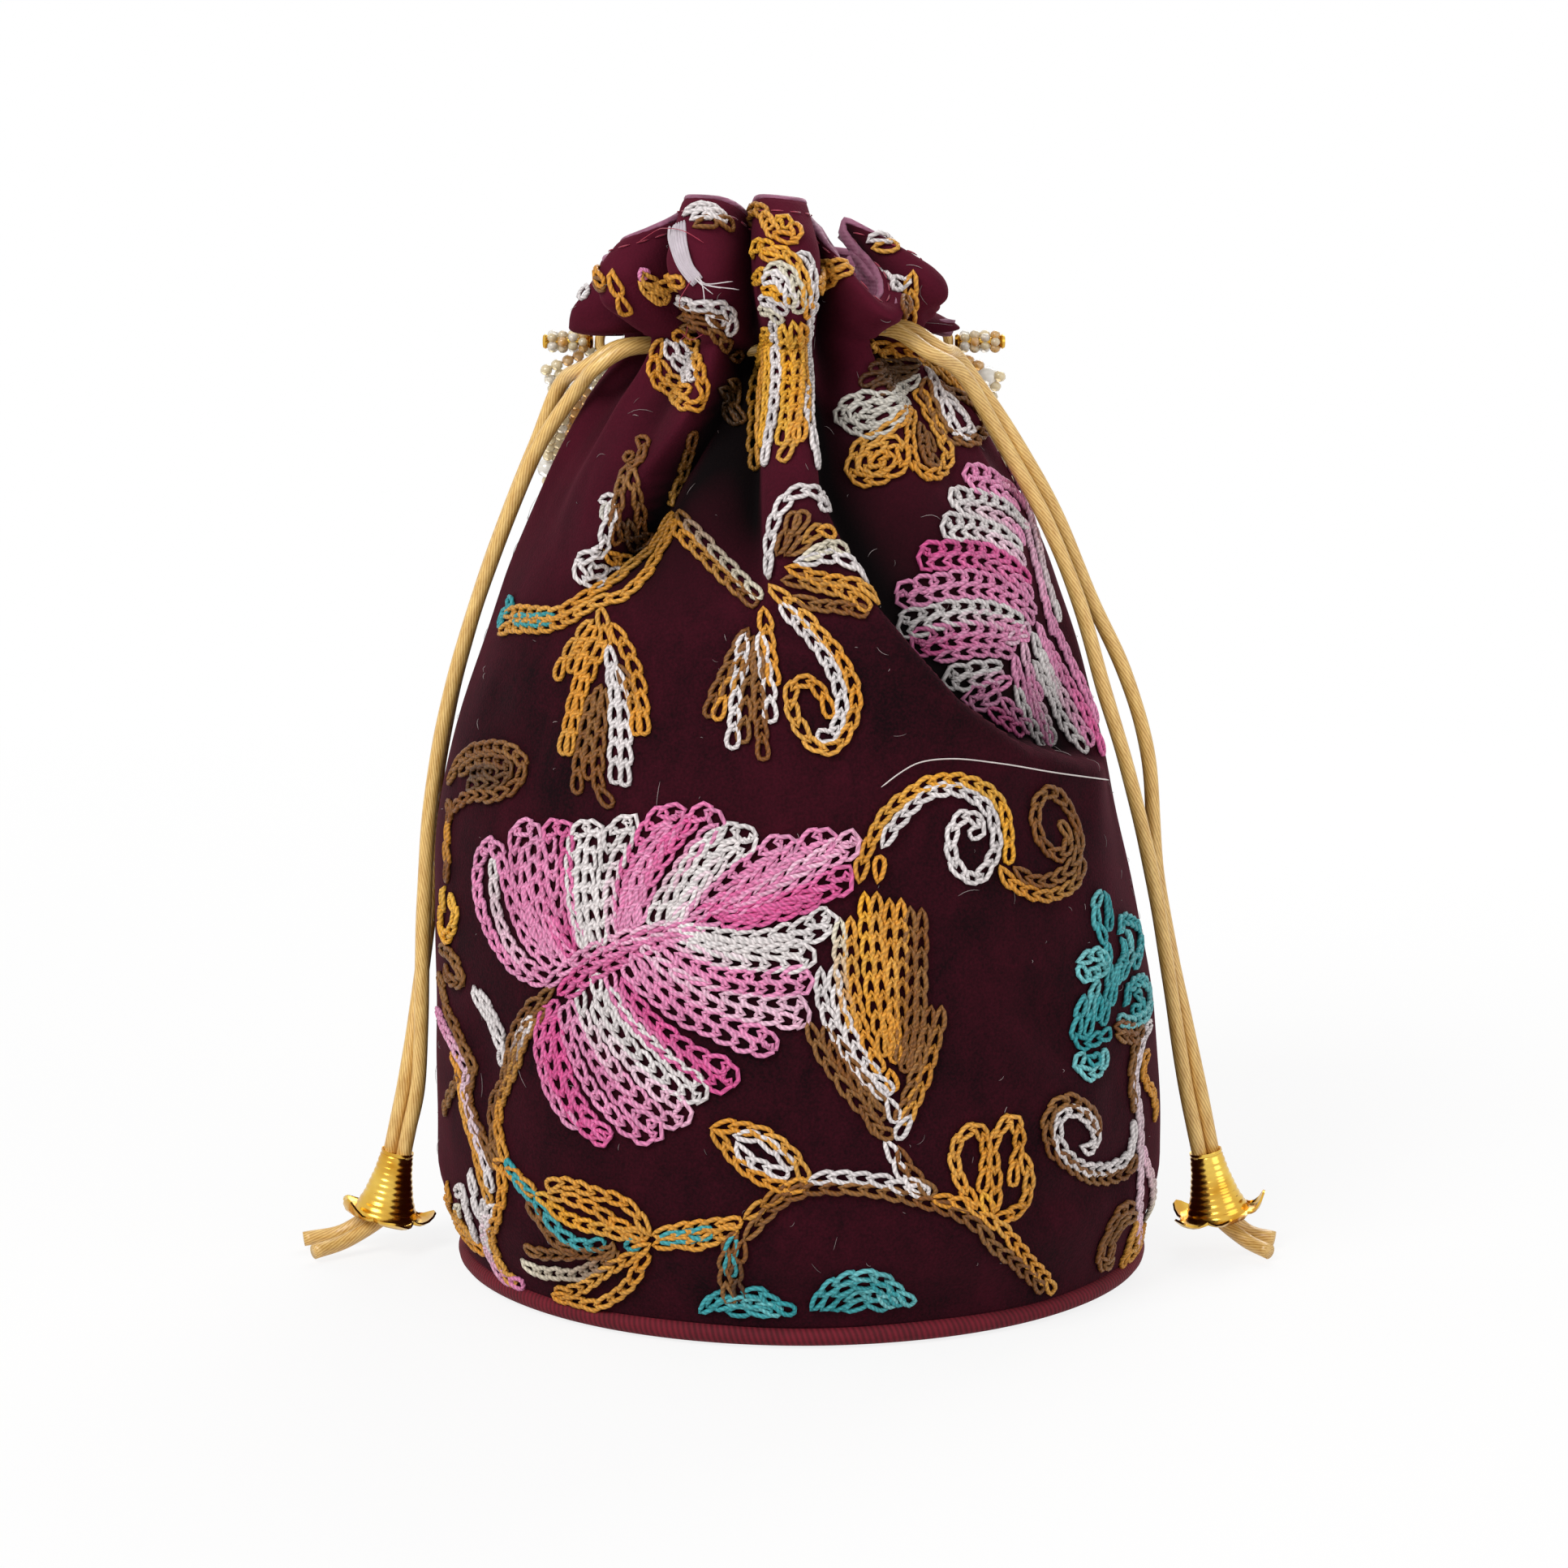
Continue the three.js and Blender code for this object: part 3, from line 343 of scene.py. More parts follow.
# the sweep of paper runs out to plain white behind the bag
reach = rangeOf(tree, away, From_Min=studio["fadeFrom"], From_Max=studio["fadeTo"],
                To_Min=studio["floorShow"],
                To_Max=studio["farShow"])
share = addNode(tree, "ShaderNodeMath", {"operation": "MULTIPLY"}, {0: seen, 1: reach}).outputs[0]
matt = addNode(tree, "ShaderNodeBsdfDiffuse", {"Color": linear("#f4f3f2")}).outputs[0]
glow = addNode(tree, "ShaderNodeEmission", {"Color": (1, 1, 1, 1), "Strength": 1.0}).outputs[0]
endMaterial(tree, addNode(tree, "ShaderNodeMixShader", links={0: share, 1: matt, 2: glow}))

deselectAll()
bpy.ops.mesh.primitive_plane_add(size=studio["floorSize"], location=(0, 0, studio["floorDrop"]))
floor = newPiece("paper_floor")
floor.data.materials.append(paper)

for name, place, size, power in studio["lamps"]:
    lamp = bpy.data.lights.new(name + "_lamp", "AREA")
    lamp.shape = "DISK"
    lamp.size = size
    lamp.energy = power
    lampObject = bpy.data.objects.new(name + "_lamp", lamp)
    lampObject.location = place
    aim = Vector(studio["lampAim"]) - Vector(place)
    lampObject.rotation_euler = aim.to_track_quat("-Z", "Y").to_euler()
    bpy.context.scene.collection.objects.link(lampObject)
print("camera, floor and lamps set")


# The bag's cloth, as a surface over degrees round the bag and height

bagShape = {
    "profile": [(4.2, 70.6), (19.9, 72.2), (56.9, 70.8), (97.9, 65.2), (133.9, 54.6), (154.9, 45),
                (169.9, 35.5), (183.9, 25.5), (197.9, 30), (211.9, 32)],
    "gather": [(133.9, 0), (154.9, 0.8), (169.9, 2), (183.9, 3), (197.9, 5), (211.9, 6.5)],
    "lean": [(0, 0), (56.9, -1.5), (97.9, -4.8), (154.9, -4.5), (183.9, -5.5), (211.9, -6.8)],
    "lobes": [-128, -83, -53, -23, 7, 37, 67, 95, 128, 154, 180, 206, 232],
    "edgeFall": [(-180, 5), (-128, 6), (-105, 11), (-83, 10), (-68, 12), (-53, 7), (-38, 7), (-23, 1),
                 (-8, 5), (7, 0), (22, 4), (37, 19), (52, 9), (67, 11), (82, 16), (95, 14), (111, 13),
                 (128, 7), (180, 5)],
    "hem": 4.2, "neck": 183.9, "edge": 211.9, "neckLean": -5.5, "ruffleRise": 14, "lobeBulge": 0.08,
    "foldArm": 52, "foldSoftness": 2,
}
folds = [
    {"edge": [(14, 182), (10.5, 168), (10, 157), (20.5, 137), (34.5, 120), (48, 110), (62, 105.5),
              (82, 101)],
     "over": -1, "rise": 2.5, "riseWidth": 14, "drop": 5.5, "dropWidth": 16, "fadeTop": 12, "fadeEnd": 14},
    {"edge": [(-7, 186), (-6, 172), (-4, 153), (-1.5, 136)],
     "over": 1, "rise": 2, "riseWidth": 8, "drop": 6, "dropWidth": 9, "fadeTop": 8, "fadeEnd": 18},
    {"edge": [(-21, 186), (-20.5, 175), (-24, 166), (-33, 151.5), (-42, 141)],
     "over": -1, "rise": 2.5, "riseWidth": 14, "drop": 6, "dropWidth": 10, "fadeTop": 8, "fadeEnd": 16},
]
pleat = {"line": [(5, 203), (4, 184), (2.2, 166), (2.5, 152), (3, 133)],
         "height": 3.5, "width": 6, "fadeTop": 10, "fadeEnd": 24}
# slack creases that the slumped cloth shows: a line on the cloth, its height and its width
creases = [
    {"line": [(34, 66), (42, 57), (50, 46)], "height": -1.5, "width": 4.5},
    {"line": [(27, 58), (36, 50), (46, 43), (58, 40)], "height": 1.3, "width": 5},
    {"line": [(20, 38), (31, 36), (44, 33)], "height": -1.2, "width": 4},
    {"line": [(30, 22), (42, 24), (56, 25), (66, 22)], "height": -1.3, "width": 4.5},
    {"line": [(-20, 32), (-12, 37), (-6, 34)], "height": -0.9, "width": 4},
    {"line": [(-62, 60), (-56, 46), (-52, 34)], "height": -1.2, "width": 5},
    {"line": [(-68, 120), (-58, 111), (-40, 107)], "height": -1.1, "width": 6},
    {"line": [(40, 103), (54, 98), (66, 92)], "height": -1.4, "width": 6},
    {"line": [(-150, 120), (-136, 98), (-120, 80)], "height": -1.6, "width": 8},
    {"line": [(150, 130), (138, 104), (124, 92)], "height": -1.6, "width": 8},
    {"line": [(170, 60), (185, 52), (200, 56)], "height": -1.2, "width": 7},
    {"line": [(-62, 186), (-67, 199), (-71, 219)], "height": -3.2, "width": 2.6},
    {"line": [(-89, 186), (-93, 199), (-96, 219)], "height": -2.8, "width": 3},
    {"line": [(-44, 187), (-41, 200), (-38, 218)], "height": -2.6, "width": 2.4},
    {"line": [(62, 186), (71, 199), (79, 219)], "height": -3, "width": 2.6},
    {"line": [(12, 188), (16, 200), (18, 218)], "height": -2, "width": 2.4},
]
slack = {"puff": 4.6, "roll": 6, "swell": 0.6, "pucker": 0.35, "foldSoftness": 0.9, "lobeBulge": 0.13,
         "crumple": 0.85, "tuckIn": 3.0}
# the soft cloth folds deeper than the part's solid: each fold's rise and drop, and the pleat's height
deeper = {"rise": (3.8, 2.4, 5.2), "drop": (8, 9, 11), "pleat": 5,
          "panelEdge": [(-20, 186), (-20, 176), (-25, 168), (-32.5, 160), (-37, 151), (-41, 143),
                        (-45, 135)]}
# the frill as the photograph shows it: how far its edge falls, flops and sags, by degrees round the bag
frill = {
    "fall": [(-180, 13), (-150, 15), (-128, 15), (-105, 18), (-92, 19), (-83, 16), (-68, 12.5), (-53, 9),
             (-40, 4), (-30, 1.6), (-20, 1.3), (-9, 5.5), (-2, 1.8), (6, 1.1), (20, 4.2), (30, 11), (37, 20),
             (45, 13), (54, 6.5), (67, 12), (80, 19), (90, 21), (100, 21), (111, 20), (128, 16), (150, 15),
             (180, 13)],
    "flop": [(-180, 8), (-128, 6), (-105, 0), (-83, -1.5), (-53, 0), (-23, -2), (7, -4), (22, -3), (37, 2),
             (52, -4), (67, -5), (80, -9), (95, -10.5), (111, -7), (128, 3), (180, 8)],
    "sag": [(-180, 2), (-105, 4), (-83, 5), (-60, 2), (-30, 0), (60, 0), (90, 3), (180, 2)],
}


def smoothThrough(knots, x):
    k = np.asarray(knots, float)
    x = np.clip(x, k[0, 0], k[-1, 0])
    i = np.clip(np.searchsorted(k[:, 0], x, side="right") - 1, 0, len(k) - 2)
    before, after = np.maximum(i - 1, 0), np.minimum(i + 2, len(k) - 1)
    step = k[i + 1, 0] - k[i, 0]
    t = (x - k[i, 0]) / step
    m0 = (k[i + 1, 1] - k[before, 1]) / (k[i + 1, 0] - k[before, 0]) * step
    m1 = (k[after, 1] - k[i, 1]) / (k[after, 0] - k[i, 0]) * step
    return (k[i, 1] * (1 + 2 * t) * (1 - t) ** 2 + m0 * t * (1 - t) ** 2
            + k[i + 1, 1] * t * t * (3 - 2 * t) + m1 * t * t * (t - 1))


def ease(t):
    t = np.clip(t, 0, 1)
    return t * t * (3 - 2 * t)


def wrapped(deg):
    return (np.asarray(deg, float) + 180) % 360 - 180


def alongLine(line, deg, height):
    # distance to a drawn line on the unrolled cloth, its side, and how far along it lies
    arm = math.radians(bagShape["foldArm"])
    a = deg * arm
    distance = np.full(a.shape, 1e9)
    side = np.ones_like(a)
    along = np.zeros_like(a)
    total = 0.0
    for (d0, h0), (d1, h1) in zip(line[:-1], line[1:]):
        a0 = d0 * arm
        da, dh = d1 * arm - a0, h1 - h0
        length = math.hypot(da, dh)
        t = np.clip(((a - a0) * da + (height - h0) * dh) / length ** 2, 0, 1)
        here = np.hypot(a - a0 - t * da, height - h0 - t * dh)
        nearer = here < distance
        side = np.where(nearer, np.where(da * (height - h0) - dh * (a - a0) >= 0, 1.0, -1.0), side)
        along = np.where(nearer, total + t * length, along)
        distance = np.minimum(distance, here)
        total += length
    return distance, side, along, total


def foldOffset(deg, height, soft):
    offset = np.zeros_like(deg)
    for k, fold in enumerate(folds):
        rise = deeper["rise"][k] if soft else fold["rise"]
        drop = deeper["drop"][k] if soft else fold["drop"]
        edge = deeper["panelEdge"] if soft and k == 2 else fold["edge"]
        distance, side, along, total = alongLine(edge, deg, height)
        softness = slack["foldSoftness"] if soft else bagShape["foldSoftness"]
        under = 0.5 + 0.5 * np.tanh(-side * fold["over"] * distance / softness)
        fade = ease(along / fold["fadeTop"]) * ease((total - along) / fold["fadeEnd"])
        lifted = (1 - under) * rise * np.exp(-distance / fold["riseWidth"])
        offset += fade * (lifted - under * drop * np.exp(-distance / fold["dropWidth"]))
    distance, side, along, total = alongLine(pleat["line"], deg, height)
    fade = ease(along / pleat["fadeTop"]) * ease((total - along) / pleat["fadeEnd"])
    high = deeper["pleat"] if soft else pleat["height"]
    return offset + fade * high * np.exp(-(distance / pleat["width"]) ** 4)


def slackOffset(deg, height, phase):
    # the wrinkles and puffs of soft cloth, shaped over the part's own form
    turn = np.radians(deg)
    free = ease((height - 6) / 16)
    offset = slack["swell"] * free * (np.sin(3 * turn + height / 23) * np.sin(height / 31 + 1.3)
                                      + 0.6 * np.sin(5 * turn - height / 17 + 0.8))
    offset += 0.16 * free * np.sin(11 * turn + height / 6.1) * np.sin(height / 9.7 - 2 * turn)
    nearNeck = ease((height - 140) / 36) * ease((202 - height) / 16)
    offset += slack["pucker"] * nearNeck * np.sin(31 * turn + 1.7 * np.sin(height / 11))
    for crease in creases:
        distance, side, along, total = alongLine(crease["line"], deg, height)
        fade = ease(along / 8) * ease((total - along) / 8)
        offset += fade * crease["height"] * np.exp(-(distance / crease["width"]) ** 2)
    share = np.clip((height - bagShape["neck"]) / (bagShape["edge"] - bagShape["neck"]), 0, 1)
    swollen = np.sin(np.pi * share ** 0.75) ** 0.65
    offset += slack["puff"] * swollen * (0.55 + 0.45 * np.cos(phase))
    crumpled = np.sin(19 * turn + height / 3.3) * np.sin(height / 4.1 + 5 * turn)
    offset += slack["crumple"] * swollen * (crumpled + 0.5 * np.sin(33 * turn - height / 2.6))
    offset -= slack["tuckIn"] * (1 - ease((height - bagShape["hem"]) / 17))
    offset += smoothThrough(frill["flop"], deg) * share ** 2
    return offset - slack["roll"] * ease((share - 0.6) / 0.5) * (0.7 + 0.3 * np.cos(phase))


def lobeAt(deg):
    # how far round its lobe of the ruffle a place lies, and how wide that lobe is
    lobes = np.asarray(bagShape["lobes"], float)
    turn = np.where(deg < lobes[0], deg + 360, deg)
    i = np.clip(np.searchsorted(lobes, turn, side="right") - 1, 0, len(lobes) - 2)
    span = lobes[i + 1] - lobes[i]
    return 2 * np.pi * (turn - lobes[i]) / span, span


def cloth(deg, height, soft=True):
    deg, height = np.broadcast_arrays(wrapped(deg), np.asarray(height, float))
    phase, span = lobeAt(deg)
    gathered = smoothThrough(bagShape["gather"], height) * np.cos(phase)
    radius = smoothThrough(bagShape["profile"], height) + gathered + foldOffset(deg, height, soft)
    if soft:
        radius = radius + slackOffset(deg, height, phase)
    neck, edge = bagShape["neck"], bagShape["edge"]
    bulge = slack["lobeBulge"] if soft else bagShape["lobeBulge"]
    bulge = bulge * ease((height - neck + 6) / (bagShape["ruffleRise"] + 6))
    angle = np.radians(deg + bulge * span * np.sin(phase))
    top = edge - smoothThrough(frill["fall"] if soft else bagShape["edgeFall"], deg)
    share = np.maximum(0, (height - neck) / (edge - neck))
    z = np.where(share > 0, neck + share * (top - neck), height)
    if soft:
        z = z - smoothThrough(frill["sag"], deg) * np.sin(np.pi * np.minimum(share, 1))
    x = smoothThrough(bagShape["lean"], height) + radius * np.sin(angle)
    return np.stack([x, -radius * np.cos(angle), z], axis=-1)


def foldShadeAt(deg, height):
    # painted shade for the folds: how deep in a fold or a gathered valley the cloth lies, 0 to 1
    deg, height = np.broadcast_arrays(wrapped(deg), np.asarray(height, float))
    phase = lobeAt(deg)[0]
    gathered = ease((height - 158) / 26) * (0.5 - 0.5 * np.cos(phase)) ** 2
    return np.clip(np.maximum(-foldOffset(deg, height, True) / 6, 0.9 * gathered), 0, 1)


def clothNormal(deg, height, soft=True):
    reach = 1.2
    across = cloth(deg + reach, height, soft) - cloth(deg - reach, height, soft)
    low = np.maximum(height - reach, bagShape["hem"])
    high = np.minimum(height + reach, bagShape["edge"])
    return unit(np.cross(across, cloth(deg, high, soft) - cloth(deg, low, soft)))


def onCloth(deg, height, lift, soft=True):
    deg, height = np.asarray(deg, float), np.asarray(height, float)
    return cloth(deg, height, soft) + clothNormal(deg, height, soft) * np.asarray(lift, float)[..., None]


def besideNeck(deg, radius, height):
    angle = math.radians(deg)
    return np.array([bagShape["neckLean"] + radius * math.sin(angle), -radius * math.cos(angle), height])


# Drawcords: two satin strands on each side, from the neck's channel through the bell to cut tails

cord = {"diameter": 3.0, "spacing": 3.5, "channelRadius": 19.2, "channelTurn": 34, "neckReach": 28.5,
        "bellOut": 83.95, "bellLift": 5.5, "bellTilt": 12, "bellHeight": 15, "bellTwist": 52,
        "tailForward": (-7.5, -2.5),
        "lengths": {("left", "front"): 0.224, ("left", "back"): 0.228, ("right", "front"): 0.231,
                    ("right", "back"): 0.238}}
cordSides = {
    "left": {"side": -1, "exit": -68, "height": 181.9, "turn": -1, "reach": (13, 16),
             "front": [(-78, 172, 5), (-84, 160, 4), (-88, 145, 3.4), (-90, 128, 3), (-92, 110, 2.6),
                       (-93, 90, 2.6), (-92, 68, 3.2)],
             "back": [(-86, 171, 6), (-91, 159, 5), (-94, 144, 4), (-95, 128, 3.4), (-96, 110, 2.8),
                      (-97, 90, 2.6), (-97, 68, 3)]},
    "right": {"side": 1, "exit": 52, "height": 185.9, "turn": 1, "reach": (9, 11),
              "front": [(66, 174, 5.5), (78, 161, 4.4), (84, 146, 3.6), (86, 130, 3.4), (86, 114, 3),
                        (87, 98, 3.6), (89, 74, 3.6)],
              "back": [(74, 175, 7), (85, 161, 6), (90, 146, 5), (92, 130, 5.6), (93, 114, 8),
                       (94, 98, 8.6), (94, 74, 5)]},
}

# Satin rattail: rayon floss over a core, so fine slanting fibres, with painted highlight streaks along them
# and a silky sheen
satinCord, tree = startMaterial("gold_satin_rattail")
uv = addNode(tree, "ShaderNodeUVMap", {"uv_map": "along"}).outputs[0]
# slanting bands repeat after this much of their coordinates
bandPeriod = 0.628
# fibres lie 0.6 mm apart round the cord and make one turn in 30 mm
slant = scaledBy(tree, uv, (bandPeriod * 16, bandPeriod * 16 / 30, 1))
fibres = bandsAt(tree, slant, "DIAGONAL", 1.0, 1.6, **{"Detail": 2.0, "Detail Scale": 1.2})
# painted highlight: long pale streaks in the colour along the cord
streaks = noiseAt(tree, scaledBy(tree, uv, (9, 0.22, 1)), 1.0, 4.0, Roughness=0.6)
silk = mixOf(tree, 0.7, fibres, streaks)
surface(tree, {"Roughness": 0.36, "Specular IOR Level": 0.7, "Sheen Weight": 0.2, "Sheen Roughness": 0.4,
               "Sheen Tint": linear("#f6dfa8"), "Anisotropic": 0.5},
        {"Base Color": rampOf(tree, silk, (0.25, "#b9822f"), (0.75, "#fbd585")),
         "Normal": bumpOf(tree, silk, 0.35, 0.0002)})


def bellPlace(side):
    moved = Matrix.Translation((side * cord["bellOut"] * mm, 0, cord["bellLift"] * mm))
    return moved @ Matrix.Rotation(-side * math.radians(cord["bellTilt"]), 4, "Y")


def inBell(side, across, up):
    twist = math.radians(cord["bellTwist"])
    spot = Vector((side * across * math.sin(twist), across * math.cos(twist), up)) * mm
    return np.array(bellPlace(side) @ spot) / mm


def strandPath(facts, which):
    # out of the channel, down the bag, through the bell and out to the cut end
    side, turn = facts["side"], facts["turn"]
    sign = -1 if which == "front" else 1
    way = sign * turn
    across = sign * cord["spacing"] / 2
    aside = math.degrees(cord["spacing"] / 2 / cord["neckReach"])
    deg, high = facts["exit"], facts["height"]
    points = [besideNeck(deg + cord["channelTurn"] * way, cord["channelRadius"], high),
              besideNeck(deg + 15 * way, cord["channelRadius"] + 0.5, high),
              besideNeck(deg + 1.4 * aside * way, cord["channelRadius"] + 5, high),
              besideNeck(deg + 1.1 * aside * way, cord["neckReach"] + 3, high - 0.5),
              besideNeck(deg + 1.1 * aside * way + 3 * turn, cord["neckReach"] + 8.5, high - 4)]
    hole = points[2]
    points += [onCloth(d, h, np.array(lift), False) for d, h, lift in facts[which]]
    crown = cord["bellHeight"] + 0.3
    points += [inBell(side, across, up) for up in (crown + 14, crown + 5, crown, 6.9, 3.45)]
    nth = ("front", "back").index(which)
    reach, forward = facts["reach"][nth], cord["tailForward"][nth]
    low = cord["diameter"] / 2 + 0.1
    points += [np.array([side * (cord["bellOut"] + 0.5 * reach), 1.3 * across + 0.4 * forward, low + 1.6]),
               np.array([side * (cord["bellOut"] + reach), 1.3 * across + forward, low + 0.3])]
    return evenly(catmullRom(points, 12), 1.3), hole


def ringPath(facts):
    degs = facts["exit"] - facts["turn"] * np.linspace(cord["channelTurn"], 360 - cord["channelTurn"], 60)
    return np.array([besideNeck(d, cord["channelRadius"], facts["height"]) for d in degs])


strands = {}
for sideName, facts in cordSides.items():
    for which in ("front", "back"):
        path, hole = strandPath(facts, which)
        run = arcLength(path)
        lumps = 1 + 0.02 * np.sin(run / 7.3) + 0.015 * np.sin(run / 2.9 + 1)
        name = sideName + "_" + which
        strand = tubePiece(name + "_strand", path, cord["diameter"] / 2 * lumps, 14)
        finishPiece(strand, satinCord, "bag", "gold_cord", sideName + "_drawcord", name + "_tail")
        strands[sideName, which] = (strand, path, hole)
        print(strand.name, "length", round(run[-1]), "mm")
    inChannel = tubePiece(sideName + "_channel_cord", ringPath(facts), cord["diameter"] / 2, 10)
    finishPiece(inChannel, satinCord, "bag", "gold_cord", sideName + "_drawcord")


# Bells: stamped gilt caps with turned rings and five curled petals

bell = {"segments": 50, "petals": 5, "rings": 9, "collar": 3.3, "mouth": 6.25, "petalReach": 9.75,
        "wall": 0.45, "crown": (2.2, 14.4)}

# Gilt brass, stamped and lacquered: mirror bright with a warm orange cast in its own reflections
giltBrass, tree = startMaterial("gilt_brass")
place = objectPlace(tree)
# faint handling marks about 1.2 mm across
smears = noiseAt(tree, place, 0.0012, 3.0)
tarnish = noiseAt(tree, place, 0.006, 2.0)
surface(tree, {"Metallic": 1.0},
        {"Base Color": rampOf(tree, tarnish, (0.3, "#c98f2a"), (0.7, "#e8c25a")),
         "Roughness": rangeOf(tree, smears, To_Min=0.12, To_Max=0.3),
         "Normal": bumpOf(tree, smears, 0.12, 0.0002)})


def bellProfile():
    # radius and height down the cap, each ring a rounded step
    outline = [(15, 0), (13.6, 0), (10.5, 0.15), (5.7, 0.55), (2.4, 1)]
    heights = np.linspace(13.4, 2.6, 4 * bell["rings"] + 1)
    grow = np.interp(heights, [h for h, s in outline][::-1], [s for h, s in outline][::-1])
    radii = bell["collar"] + grow * (bell["mouth"] - bell["collar"])
    radii += 0.17 * (np.sin(np.pi * np.arange(len(heights)) / 4 % np.pi) - 0.35)
    top = [(2.9, 14.9), (3.25, 15), (3.3, 14.6), (3.1, 14.2), (3.35, 13.9)]
    return top + list(zip(radii, heights))


def makeBell(sideName):
    side = cordSides[sideName]["side"]
    radius, height = bell["crown"]
    deselectAll()
    bpy.ops.mesh.primitive_circle_add(vertices=bell["segments"], radius=radius * mm, fill_type="NGON",
                                      location=(0, 0, height * mm))
    piece = newPiece(sideName + "_bell_cap")
    bpy.ops.object.transform_apply(location=True, rotation=True, scale=True)
    bpy.ops.object.mode_set(mode="EDIT")
    bpy.ops.mesh.select_mode(type="EDGE")
    bpy.ops.mesh.select_all(action="SELECT")
    petalRings = [(bell["mouth"] + 0.3, 2.0), (bell["mouth"] + 1.2, 1.4), (bell["mouth"] + 2.4, 1.1),
                  (bell["petalReach"], 1.3)]
    for nextRadius, nextHeight in bellProfile() + petalRings:
        grow = nextRadius / radius
        bpy.ops.mesh.extrude_edges_move(TRANSFORM_OT_translate={"value": (0, 0, (nextHeight - height) * mm)})
        bpy.ops.transform.resize(value=(grow, grow, 1), center_override=(0, 0, nextHeight * mm))
        radius, height = nextRadius, nextHeight
    bpy.ops.object.mode_set(mode="OBJECT")
    # the rim is cut into petals: notches draw back to the mouth, tips curl up unevenly
    co = np.array([v.co for v in piece.data.vertices]) / mm
    out = np.hypot(co[:, 0], co[:, 1])
    angle = np.arctan2(co[:, 1], co[:, 0])
    rim = np.clip((out - bell["mouth"] - 0.2) / (bell["petalReach"] - bell["mouth"] - 0.2), 0, 1)
    wave = 0.5 + 0.5 * np.cos(bell["petals"] * angle + 0.35 * side)
    tip = wave ** 0.7
    scale = 1 - rim * (1 - tip) * 0.3
    curl = 1 + 0.45 * np.sin(2 * angle + 1.1 + side)
    co[:, 0] *= scale
    co[:, 1] *= scale
    co[:, 2] += rim ** 2 * (3.0 * tip ** 2 * curl - 0.7) + rim * (1 - tip) * 1.7
    piece.data.vertices.foreach_set("co", (co * mm).ravel())
    thicken(piece, "sheet metal", bell["wall"], -1)
    bpy.ops.object.shade_smooth_by_angle(angle=math.radians(50))
    piece.data.transform(bellPlace(side))
    return finishPiece(piece, giltBrass, "bag", "gilt_metal", sideName + "_bell")


for sideName, facts in cordSides.items():
    cap = makeBell(sideName)
    for which in ("front", "back"):
        strand, path, hole = strands[sideName, which]
print("cords and bells made")


# Velvet wall: one cut of cloth, sewn into a tube, gathered at the neck

velvet = {"columns": 300, "thickness": 1.2, "flat": (0.454, 0.222)}

# Silk velvet: a short dense pile that drinks light face on and shows a plum bloom at grazing angles
silkVelvet, tree = startMaterial("burgundy_velvet")
place = objectPlace(tree)
# brushed patches about 25 mm across where the nap lies another way
brushed = noiseAt(tree, place, 0.025, 5.0, Roughness=0.62, Distortion=0.6)
# finger marks about 9 mm long, drawn out along the nap
marks = noiseAt(tree, scaledBy(tree, place, (1.0, 1.0, 0.55)), 0.009, 4.0, Roughness=0.6, Distortion=1.0)
# tufts of pile, drawn 0.5 mm across so that they show
tufts = noiseAt(tree, place, 0.0005, 2.0)
nap = mixOf(tree, 0.34, mixOf(tree, 0.42, brushed, marks), tufts)
pile = rampOf(tree, nap, (0.38, "#110307"), (0.64, "#390a17"))
# painted light: above 125 mm the velvet's colour is drawn lighter towards the top, where the cloth faces the
# light
high = addNode(tree, "ShaderNodeSeparateXYZ", links={"Vector": place}).outputs["Z"]
pile = tintedBy(tree, rangeOf(tree, high, From_Min=0.125, From_Max=0.2, To_Max=0.5), pile, "#681a30")
# painted shade: deep in the folds the velvet's colour is darkened almost to black
pile = tintedBy(tree, attribute(tree, "painted_fold_shade")["Fac"], pile, "#060203")
surface(tree, {"Roughness": 0.95, "Specular IOR Level": 0.1, "Sheen Weight": 0.4, "Sheen Roughness": 0.32,
               "Sheen Tint": linear("#862a44")},
        {"Base Color": pile, "Normal": bumpOf(tree, tufts, 0.35, 0.0004)})

wallHeights = np.concatenate([[3.2], np.linspace(bagShape["hem"], 118, 62),
                              np.linspace(119.3, bagShape["neck"], 52),
                              np.linspace(184.9, bagShape["edge"], 34)])
lastRow = len(wallHeights) - 1
deselectAll()
bpy.ops.mesh.primitive_grid_add(x_subdivisions=velvet["columns"], y_subdivisions=lastRow, size=2)
wall = newPiece("velvet_bag")
co = np.array([v.co for v in wall.data.vertices])
deg = co[:, 0] * 180
height = wallHeights[np.clip(np.rint((co[:, 1] + 1) / 2 * lastRow).astype(int), 0, lastRow)]
points = cloth(deg, np.maximum(height, bagShape["hem"]))
tuck = np.maximum(bagShape["hem"] - height, 0)
points[:, 2] -= tuck
points[:, :2] *= (1 - 0.006 * tuck)[:, None]
wall.data.vertices.foreach_set("co", (points * mm).ravel())
# painted shade: how deep each point lies in a fold, which darkens the velvet there
foldShadeLayer = wall.data.attributes.new("painted_fold_shade", "FLOAT", "POINT")
foldShadeLayer.data.foreach_set("value", foldShadeAt(deg, height).astype(np.float32))
bpy.ops.object.mode_set(mode="EDIT")
bpy.ops.mesh.select_all(action="SELECT")
bpy.ops.mesh.remove_doubles(threshold=0.00002)
bpy.ops.object.mode_set(mode="OBJECT")
thicken(wall, "cloth", velvet["thickness"], -1)
bpy.ops.object.shade_smooth()
finishPiece(wall, silkVelvet, "bag", "velvet", "velvet_wall")
print("velvet wall made:", len(wall.data.polygons), "faces")


# Lining: a slack inner bag that backs the ruffle and rolls over its edge

